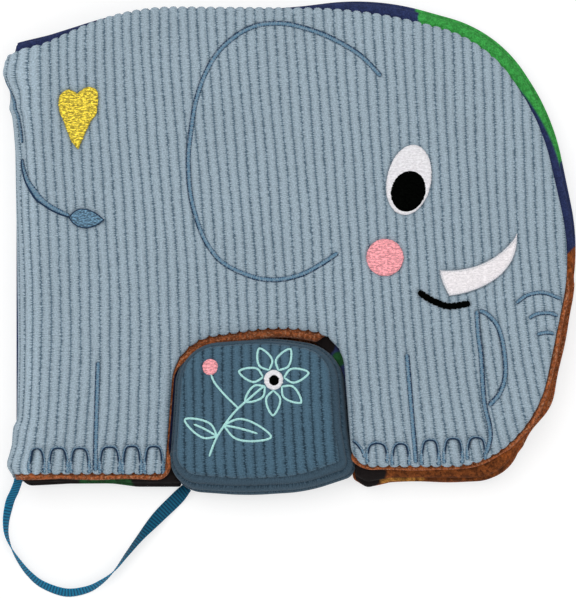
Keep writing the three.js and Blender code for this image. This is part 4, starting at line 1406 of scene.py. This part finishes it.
def line_thread(name, middle, edge, pile=None, covered=0.5, sheen=0.08, specular=0.2):
    """Satin stitched line: slanted threads, dark broken edges and pile that pokes through."""
    f = Finish(name, roughness=0.7, sheen=sheen, specular=specular)
    cloth = f.cloth()
    u, v = f.part(cloth, 0), f.part(cloth, 1)
    side = f.math("ABSOLUTE", f.minus(f.times(u, 2.0), 1.0))
    slanted = f.plus(f.times(v, 1 / 0.42), f.times(u, 0.9))
    threads = f.times(f.math("PINGPONG", slanted, 0.5), 2.0)
    fray = f.noise(f.scaled(cloth, 2.4, 1.3), 1.0, 3.0, 0.65)
    # Painted shade: the thread turns to the edge colour along both edges, more along one side,
    # where the pile shades it
    dashes = f.times(f.math("SINE", f.times(v, 2 * math.pi / 0.9)), 0.16)
    outer = f.times(f.minus(u, 0.5), 0.5)
    edging = f.plus(f.plus(side, dashes), f.math("MULTIPLY_ADD", fray, 0.9, outer))
    rim = f.ramp(edging, 0.76, 1.22)
    tone = f.shaded(f.shaded(middle, threads, 0.78, 1.18), fray, 0.6, 1.4)
    colour = f.mix(rim, tone, edge)
    if pile is not None:
        specks = f.noise(f.scaled(cloth, 2.0, 1.25), 1.0, 2.0, 0.6)
        share = f.times(f.ramp(specks, 0.46, 0.62), f.ramp(side, 2.0, 1.2, 0.0, covered))
        colour = f.mix(share, colour, pile)
        threads = f.plus(threads, specks)
    return f.finish(colour, threads, 0.15, 0.7)


def fill_thread(name, colour, contrast, roughness=0.7, sheen=0.08, specular=0.3, metallic=0.0):
    """Rows of short stitches, each a little lighter or darker than the next."""
    f = Finish(name, roughness=roughness, sheen=sheen, specular=specular)
    f.shader.inputs["Metallic"].default_value = metallic
    cloth = f.cloth()
    rows = f.times(f.math("PINGPONG", f.times(f.part(cloth, 1), 2.0), 0.5), 2.0)
    threads = f.ramp(f.noise(f.scaled(cloth, 0.62, 1.5), 1.0, 2.0, 0.5), 0.36, 0.64)
    specks = f.ramp(f.noise(f.scaled(cloth, 1.1, 1.8), 1.0, 2.0, 0.5), 0.36, 0.64)
    tone = f.shaded(colour, threads, 1 - contrast, 1 + contrast)
    tone = f.shaded(tone, specks, 1 - contrast, 1 + contrast * 0.8)
    tone = f.shaded(tone, rows, 1 - contrast / 2, 1 + contrast / 4)
    height = f.plus(f.times(rows, 0.6), threads)
    return f.finish(tone, f.plus(height, f.times(specks, 0.5)), 0.2, 0.7)


def grosgrain():
    """Ribbed ribbon: raised ribs across and a finer selvedge along both edges."""
    tone = colours()
    f = Finish("grosgrain", roughness=0.6, sheen=0.0, specular=0.12)
    cloth = f.cloth()
    u, v = f.part(cloth, 0), f.part(cloth, 1)
    ribs = f.math("SINE", f.times(v, 2 * math.pi / RIB_PITCH))
    ribs = f.plus(f.times(ribs, 0.5), 0.5)
    threads = f.noise(f.scaled(cloth, 30.0, 1.2), 1.0, 2.0)
    share = f.ramp(f.plus(ribs, f.times(threads, 0.3)), 0.2, 0.95)
    colour = f.mix(share, tone.ribbon_shade, tone.ribbon)
    edge = f.math("ABSOLUTE", f.minus(f.times(u, 2.0), 1.0))
    colour = f.shaded(colour, f.ramp(edge, 0.86, 0.98), 1.0, 1.12)
    # Painted light and shade: the ribbon is 5 % lighter up to 74 mm along it, then darkens to 55 %
    # by 94 mm, over the limb that rises to the calf pad.
    colour = f.shaded(colour, f.ramp(v, 74.0, 94.0), 1.05, 0.55)
    return f.finish(f.shaded(colour, threads, 0.88, 1.12), threads, 0.08, 0.5)


# Ribbon

RIB_PITCH = 1.2

# The ribbon's route, as in the solids
RIBBON_ROUTE = [
    (0.3, -1.4, 8), (0, -3.3, 7.15), (-1.3, -6.7, 5.4), (-3, -10.4, 3.3), (-4.2, -14.9, 1.35),
    (-4.8, -19.4, 0.45), (-4.5, -23.9, 0.35), (-2.7, -28.9, 0.35), (0.2, -33.9, 0.35),
    (4.3, -39.1, 0.35), (9.7, -43.4, 0.35), (18.5, -46.4, 0.35), (26.7, -45.3, 0.35),
    (32.5, -42.2, 0.35), (37.5, -37.9, 0.35), (42.6, -31.3, 0.35), (48.4, -24, 0.35),
    (55, -16.6, 0.35), (61.5, -10.2, 0.6), (66.2, -5.2, 1.9),
]

# How far the ribbon is rolled on its length at each point of the route, in degrees
RIBBON_ROLL = [55, 55, 54, 53, 57, 67, 77, 93, 107, 117, 125, 131, 123, 109, 88, 74, 58, 21, 0, 50]


def ribbon_lines(width, thickness):
    """The ribbon's middle line, its direction across and its face's direction."""
    line = curve(RIBBON_ROUTE, 0.24)
    _, number = nearest(line, np.array(RIBBON_ROUTE)[:, :2])
    margin = 60
    turns = np.interp(np.arange(-margin, len(line) + margin), number, RIBBON_ROLL)
    roll = np.radians(smoothed(turns, 41)[margin:-margin])
    lying = np.abs(np.sin(roll)) * width / 2 + thickness / 2 + 0.05
    line[:, 2] = np.maximum(line[:, 2], lying)
    along = directions(line, closed=False)
    level = np.column_stack([along[:, 1], -along[:, 0], np.zeros(len(line))])
    level /= np.linalg.norm(level, axis=1)[:, None]
    up = np.cross(level, along)
    across = level * np.cos(roll)[:, None] + up * np.sin(roll)[:, None]
    face = up * np.cos(roll)[:, None] - level * np.sin(roll)[:, None]
    return line, across, face


class CLOTHBOOK_OT_stage(bpy.types.Operator):
    """Set up the floor, the soft lights and the camera straight above"""

    bl_idname = "cloth_book.stage"
    bl_label = "Stage"

    def execute(self, context):
        scene = context.scene
        scene.view_settings.view_transform = "Standard"
        add_camera(scene)
        add_floor()
        add_world(scene)
        add_lamp("key lamp", (-0.5, 0.55, 1.5), size=1.3, power=11.4)
        add_lamp("fill lamp", (0.7, -0.3, 1.4), size=1.4, power=5.4)
        return {"FINISHED"}


def add_camera(scene):
    """Straight above the book, where the photograph's middle lies."""
    across, up = PHOTO_WIDTH / 2 - PHOTO_SPINE, PHOTO_SOLE - PHOTO_HEIGHT / 2
    middle = framed([across * MM_PER_PIXEL, up * MM_PER_PIXEL, 0])
    data = bpy.data.cameras.new("camera")
    distance = 2.2
    data.sensor_width = 36
    data.sensor_fit = "HORIZONTAL"
    data.lens = data.sensor_width * distance / (PHOTO_WIDTH * MM_PER_PIXEL * MM)
    data.clip_end = 20
    camera = bpy.data.objects.new("camera", data)
    camera.location = (middle[0], middle[1], BOOK_THICKNESS * MM + distance)
    scene.collection.objects.link(camera)
    scene.camera = camera


# The floor's own white, so that its shadow stays soft, its colour as seen, and the room's light
FLOOR_GLOW, FLOOR_SEEN, ROOM_LIGHT = (0.6, 0.6, 0.6), (0.72, 0.72, 0.72), 0.56


def add_floor():
    bpy.ops.object.select_all(action="DESELECT")
    bpy.ops.mesh.primitive_plane_add(size=8, location=(0, 0, -0.0002))
    floor = bpy.context.object
    floor.name = "floor"
    f = Finish("pale floor", roughness=0.8, specular=0.1)
    seen = f.node("ShaderNodeLightPath", output="Is Camera Ray")
    glossy = f.node("ShaderNodeLightPath", output="Is Glossy Ray")
    seen = f.math("MAXIMUM", seen, glossy)
    f.feed(f.shader.inputs["Emission Color"], f.mix(seen, (0, 0, 0), FLOOR_GLOW))
    f.shader.inputs["Emission Strength"].default_value = 1
    floor.data.materials.append(f.finish(f.mix(seen, FLOOR_SEEN, colours().floor)))


def add_world(scene):
    """An even soft room light, seen as plain white."""
    world = bpy.data.worlds.new("studio")
    world.use_nodes = True
    tree = world.node_tree
    background = tree.nodes["Background"]
    path = tree.nodes.new("ShaderNodeLightPath")
    seen = tree.nodes.new("ShaderNodeMath")
    seen.operation = "MAXIMUM"
    tree.links.new(path.outputs["Is Camera Ray"], seen.inputs[0])
    tree.links.new(path.outputs["Is Glossy Ray"], seen.inputs[1])
    level = tree.nodes.new("ShaderNodeMapRange")
    level.inputs[3].default_value = ROOM_LIGHT
    level.inputs[4].default_value = 1.0
    tree.links.new(seen.outputs[0], level.inputs[0])
    background.inputs["Color"].default_value = (1, 1, 1, 1)
    tree.links.new(level.outputs[0], background.inputs["Strength"])
    scene.world = world


def add_lamp(name, place, size, power):
    data = bpy.data.lights.new(name, "AREA")
    data.shape = "DISK"
    data.size = size
    data.energy = power
    lamp = bpy.data.objects.new(name, data)
    lamp.location = place
    lamp.rotation_euler = (Vector((0, 0, 0)) - Vector(place)).to_track_quat("-Z", "Y").to_euler()
    bpy.context.scene.collection.objects.link(lamp)


class CLOTHBOOK_OT_ribbon(bpy.types.Operator):
    """Lay the grosgrain ribbon in its loop from the spine to the calf pad"""

    bl_idname = "cloth_book.ribbon"
    bl_label = "Ribbon"

    def execute(self, context):
        size = sizes()
        width, thickness = size["ribbon_width"], size["ribbon_thickness"]
        line, across, face = ribbon_lines(width, thickness)
        reach = np.concatenate([[0], np.cumsum(np.linalg.norm(np.diff(line, axis=0), axis=1))])
        ribs = 0.5 + 0.5 * np.sin(2 * math.pi * reach / RIB_PITCH)
        half = thickness / 2 * (0.62 + 0.38 * ribs)
        shares = np.array([-1, -0.92, -0.45, 0, 0.45, 0.92, 1])
        sections, uvs = [], []
        for side, order in ((1, shares), (-1, shares[::-1])):
            for a in order:
                thin = 0.45 if abs(a) == 1 else 1
                offset = across * (a * width / 2) + face * (side * half * thin)[:, None]
                sections.append(line + offset)
                uvs.append(np.column_stack([np.full(len(line), a / 2 + 0.5), reach]))
        part = swept(list(np.stack(sections, axis=1)), np.stack(uvs, axis=1).reshape(-1, 2))
        ribbon = add_piece("ribbon_grosgrain", part, grosgrain())
        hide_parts("ribbon")
        start, end = framed(line[0]), framed(line[-1])
        tuple(start)
        tuple(end)
        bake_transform(ribbon)
        path = [tuple(p) for p in framed(line[::6]).tolist()] + [tuple(end)]
        tuple(start)
        return {"FINISHED"}


def sewn(name, part, material, body, slot, nodes=()):
    """A piece on its body, in place of its nodes; its slot is not used."""
    piece = add_piece(name, part, material)
    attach(piece, body)
    if nodes:
        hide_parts(*nodes)


def sew_cover(body, cloth, lining):
    """A cover's corduroy over its wadding, and its lining. Both covers share their cloths."""
    tone = colours()
    pale = bpy.data.materials.get("pale corduroy")
    pale = pale or corduroy("pale corduroy", tone.pale, tone.pale_groove, spine_light=1.17)
    brown = bpy.data.materials.get("brown lining") or lining_cotton()
    nodes = (f"{body}_cloth", f"{body}_wadding")
    sewn(f"{body}_corduroy", cloth, pale, body, "pale_corduroy", nodes)
    sewn(f"{body}_rim", lining, brown, body, "printed_cotton", (f"{body}_lining",))


class CLOTHBOOK_OT_front_cover(bpy.types.Operator):
    """Sew the front cover: ribbed corduroy outside, brown cotton with a rolled edge inside"""

    bl_idname = "cloth_book.front_cover"
    bl_label = "Front cover"

    def execute(self, context):
        cloth = cover_cloth(0, row=0.85, proud=0.18, stitched=True)
        sew_cover("front_cover", cloth, cover_lining(0))
        return {"FINISHED"}


class CLOTHBOOK_OT_back_cover(bpy.types.Operator):
    """Sew the back cover, which lies on the table and shows its lining past the pages"""

    bl_idname = "cloth_book.back_cover"
    bl_label = "Back cover"

    def execute(self, context):
        cloth = cover_cloth(BACK_SHARE, row=1.3, proud=0.0, stitched=False)
        sew_cover("back_cover", turned_over(cloth), turned_over(cover_lining(BACK_SHARE)))
        return {"FINISHED"}


class CLOTHBOOK_OT_leaves(bpy.types.Operator):
    """Sew the two padded printed leaves and their edges at the spine"""

    bl_idname = "cloth_book.leaves"
    bl_label = "Leaves"

    def execute(self, context):
        tone = colours()
        step = (SHEET_GAP + LEAF_THICKNESS) / 2
        night = {"sky": tone.night, "ground": tone.clay, "rise": (-6, 88, 150, 222)}
        # Round patches of print and of painted shade: x, y, radius, unevenness and colour
        bushes = [(251.3, 169.5, 64.6, 6, tone.meadow), (186, 182, 31, 6, tone.meadow)]
        bushes.append((134.9, 98.4, 79, 0, tone.night))
        # Printed soil under the front foot, and painted shade at the front foot and in the arch's
        # gap
        corner = [(166, -9, 27, 5, tone.soil), (135, 1, 7.5, 6, tone.painted_shade)]
        corner += [(118.5, 50.5, 5, 2, tone.painted_shade), (125, 45, 2.6, 2, tone.green_in_painted_shade)]
        grass = [(143.6, -1.9, 2.6, 1.5), (148.4, -2, 2.5, 1.5), (153, -1.7, 1.9, 1.3)]
        grass = [(*place, tone.ochre) for place in [*grass, (157, -1.5, 1.1, 1)]]
        # Painted shade under the rear foot, where the front cover shades the pages, over darkened
        # grass
        heel = [(32, -60, 65, 2, tone.painted_shade), (60, 0, 6, 2, tone.painted_shade)]
        heel.append((34.5, -6, 10.5, 2, tone.green_in_painted_shade))
        low = [(206, 172, 52, 6, tone.meadow), *heel, *corner, *grass]
        prints = {
            "leaf_1_recto": printed_cotton("bush page", patches=bushes + heel + corner, **night),
            "leaf_1_verso": printed_cotton("night page", dots=tone.straw, **night),
            "leaf_2_recto": printed_cotton("meadow page", patches=low, **night),
            "leaf_2_verso": printed_cotton("star page", dots=tone.straw, **night),
        }
        for leaf, share, middle in (
            ("leaf_1", LEAF_ONE_SHARE, SPINE_RADIUS + step),
            ("leaf_2", LEAF_TWO_SHARE, SPINE_RADIUS - step),
        ):
            slot = "night_cotton" if leaf == "leaf_1" else "meadow_cotton"
            nodes = (f"{leaf}_recto", f"{leaf}_wadding")
            front = leaf_half(share, middle, side=1)
            sewn(f"{leaf}_front_page", front, prints[nodes[0]], leaf, slot, nodes)
            nodes = (f"{leaf}_verso",)
            back = joined([leaf_half(share, middle, side=-1), hinge_web(middle)])
            sewn(f"{leaf}_back_page", back, prints[nodes[0]], leaf, slot, nodes)
        return {"FINISHED"}


class CLOTHBOOK_OT_embroidery(bpy.types.Operator):
    """Stitch the filled shapes on the front cover: eye, cheek, tusk and heart"""

    bl_idname = "cloth_book.embroidery"
    bl_label = "Filled embroidery"

    def execute(self, context):
        tone, place = colours(), FrontFace().place
        height, sunk = sizes()["pad_height"], 0.32
        white = fill_thread("white thread", tone.white, 0.07)
        ivory = fill_thread("ivory thread", tone.ivory, 0.07)
        edging = line_thread("white edge and glint thread", tone.white, tone.shade)
        black = fill_thread("black thread", tone.black, 0.3, sheen=0.0, specular=0.0)
        pink = fill_thread("pink thread", tone.pink, 0.22)
        gold = fill_thread("gold thread", tone.gold, 0.42, roughness=0.55, metallic=0.1)
        eye = filled_stitches(eye_loop(), place, height, sunk, seed=3)
        pupil = filled_stitches(pupil_loop(), place, height, 0.12 + sunk - height, seed=5)
        cheek = filled_stitches(cheek_loop(), place, height, sunk, seed=6)
        tusk = filled_stitches(tusk_loop(), place, height * 0.7, sunk, seed=4)
        tusk_edge = stitched_border(tusk_loop(), place, 0.85, height * 1.15, sunk)
        # Painted highlight: a tiny white stitch on the pupil stands for the eye's glint
        glint = curve([(152.9, 116.4), (153.5, 115.8)], 0.15)
        glint = stitched_band(glint, place, 0.35, 0.5, 0.4 - height)
        heart = filled_stitches(heart_loop(), place, height, sunk, seed=7)
        for name, part, material, node, slot in (
            ("eye_stitches", eye, white, "eye_white", "white_thread"),
            ("pupil_stitches", pupil, black, "eye_pupil", "black_thread"),
            ("cheek_stitches", cheek, pink, "cheek", "pink_thread"),
            ("tusk_stitches", tusk, ivory, "tusk", "white_thread"),
            ("white_edge_and_glint_stitches", joined([tusk_edge, glint]), edging, "tusk", "white_thread"),
            ("heart_stitches", heart, gold, "heart", "gold_thread"),
        ):
            sewn(name, part, material, "front_cover", slot, (node,))
        return {"FINISHED"}


def dark(part):
    """The same stitches in the colour of the line's edge."""
    points, faces, uv = part
    return points, faces, uv * [0, 1] - [1, 0]


def stitched_border(loop, place, width, height, sunk):
    """A satin stitched edge round a filled shape, just inside its outline."""
    rim = Rim(resampled(loop, 0.25))
    path = rim.points + rim.inward * width / 2
    path = path[rim.inset(path) > width * 0.47]
    return stitched_band(resampled(path, 0.25), place, width, height, sunk, closed=True)


class CLOTHBOOK_OT_lines(bpy.types.Operator):
    """Stitch the outlines on the front cover: ear, tail, legs, trunk, toes and mouth"""

    bl_idname = "cloth_book.lines"
    bl_label = "Stitched lines"

    def execute(self, context):
        tone, size, place = colours(), sizes(), FrontFace().place
        width, height = size["thread_width"], size["thread_height"]
        bands = [stitched_band(path, place, width, height, 0.7) for path in outline_paths()]
        for path in creased_paths():
            bands.append(stitched_band(path, place, width * 0.85, height, 0.72))
        toes = []
        for path in toe_paths():
            toes.append(stitched_band(path, place, toe_width(path), height * 0.5, 0.72))
            # Painted shade: a thin dark band along the inner side of each toe arch's top, in the
            # colour of the line's edge
            shade_line = toe_shade_lines(path)
            thin = 0.28 + 0.32 * smooth_step((shade_line[:, 0] - FOLDED_TOE) / 4)
            bands.append(dark(stitched_band(shade_line, place, thin, height, 0.36)))
        tail, widths = tail_path()
        hidden_from, hidden_to = TAIL_HIDDEN
        for seen in (tail[:, 1] > hidden_to, tail[:, 1] < hidden_from):
            bands.append(stitched_band(tail[seen], place, widths[seen], height, 0.7))
        under = tail - Rim(tail, closed=False).inward * np.maximum(widths / 2 - 0.25, 0)[:, None]
        under = under[under[:, 1] < hidden_from]
        bands.append(dark(stitched_band(under, place, 0.6, height, 0.5)))
        bands.append(dark(stitched_border(tuft_loop(), place, 0.5, 0.6, 0.42)))
        tuft = filled_stitches(tuft_loop(), place, 0.5, 0.42, seed=8)
        mouth = mouth_path()
        mouth = stitched_band(mouth, place, width * 1.22, height, 0.45, stitch=1.1, rough=0.14)
        blue = line_thread("blue thread", tone.line, tone.line_edge, pile=tone.pale)
        faded = line_thread("toe thread", tone.line, tone.line_edge, pile=tone.pale, covered=0.95)
        filling = fill_thread("tuft thread", tone.line, 0.42)
        black = line_thread("black line thread", tone.black, tone.black, sheen=0.0, specular=0.0)
        for name, part, material, slot in (
            ("tuft_stitches", tuft, filling, "dark_corduroy"),
            ("outline_and_painted_shade_stitches", joined(bands), blue, "dark_corduroy"),
            ("toe_stitches", joined(toes), faded, "dark_corduroy"),
            ("mouth_stitches", mouth, black, "black_thread"),
        ):
            sewn(name, part, material, "front_cover", slot)
        return {"FINISHED"}


class CLOTHBOOK_OT_calf(bpy.types.Operator):
    """Sew the stuffed calf pad: two corduroy panels and the band between them"""

    bl_idname = "cloth_book.calf"
    bl_label = "Calf pad"

    def execute(self, context):
        face = CalfFace()
        tone = colours()
        deep = corduroy("deep corduroy", tone.deep, tone.deep_groove)
        band = corduroy("band corduroy", tone.band, tone.deep_groove)
        pieces = [
            ("calf_front_corduroy", calf_front(face), ("calf_front_panel", "calf_stuffing"), deep),
            ("calf_band_corduroy", calf_band(), ("calf_gusset",), band),
            ("calf_sole_corduroy", calf_sole(), ("calf_back_panel",), deep),
        ]
        for name, part, nodes, material in pieces:
            sewn(name, part, material, "calf", "dark_corduroy", nodes)
        return {"FINISHED"}


class CLOTHBOOK_OT_motif(bpy.types.Operator):
    """Stitch the plain sprig on the calf pad"""

    bl_idname = "cloth_book.motif"
    bl_label = "Calf motif"

    def execute(self, context):
        tone = colours()
        face = CalfFace()
        mint = line_thread("mint thread", tone.mint, tone.mint)
        bands = []
        for path in motif_paths():
            bands.append(stitched_band(path, face.place, 0.85, 0.5, 0.35, rough=0.1))
        sewn("sprig_stitches", joined(bands), mint, "calf", "white_thread")
        for name, loop in motif_discs().items():
            tint = name.split("_")[0]
            lift = 0.15 if tint == "black" else -0.35
            part = filled_stitches(loop, face.place, 0.5, -lift, seed=len(name))
            thread = bpy.data.materials[f"{tint} thread"]
            sewn(name, part, thread, "calf", f"{tint}_thread")
        return {"FINISHED"}


class CLOTHBOOK_PT_panel(bpy.types.Panel):
    """The steps that sew the book, in order"""

    bl_idname = "CLOTHBOOK_PT_panel"
    bl_label = "Cloth book"
    bl_space_type = "VIEW_3D"
    bl_region_type = "UI"
    bl_category = "Cloth book"

    def draw(self, context):
        layout = self.layout
        for operator in OPERATORS:
            layout.operator(operator.bl_idname)
        for group in (context.scene.cloth_book_sizes, context.scene.cloth_book_colours):
            box = layout.box()
            for name in type(group).__annotations__:
                box.prop(group, name)


OPERATORS = (
    CLOTHBOOK_OT_stage,
    CLOTHBOOK_OT_ribbon,
    CLOTHBOOK_OT_front_cover,
    CLOTHBOOK_OT_back_cover,
    CLOTHBOOK_OT_leaves,
    CLOTHBOOK_OT_embroidery,
    CLOTHBOOK_OT_lines,
    CLOTHBOOK_OT_calf,
    CLOTHBOOK_OT_motif,
)
CLASSES = (BookSizes, BookColours, *OPERATORS, CLOTHBOOK_PT_panel)


def register():
    for item in CLASSES:
        bpy.utils.register_class(item)
    bpy.types.Scene.cloth_book_sizes = bpy.props.PointerProperty(type=BookSizes)
    bpy.types.Scene.cloth_book_colours = bpy.props.PointerProperty(type=BookColours)


def unregister():
    del bpy.types.Scene.cloth_book_sizes
    del bpy.types.Scene.cloth_book_colours
    for item in reversed(CLASSES):
        bpy.utils.unregister_class(item)


def main():
    register()
    bpy.ops.cloth_book.stage()
    bpy.ops.cloth_book.ribbon()
    bpy.ops.cloth_book.front_cover()
    bpy.ops.cloth_book.back_cover()
    bpy.ops.cloth_book.leaves()
    bpy.ops.cloth_book.embroidery()
    bpy.ops.cloth_book.lines()
    bpy.ops.cloth_book.calf()
    bpy.ops.cloth_book.motif()


if __name__ == "__main__":
    main()
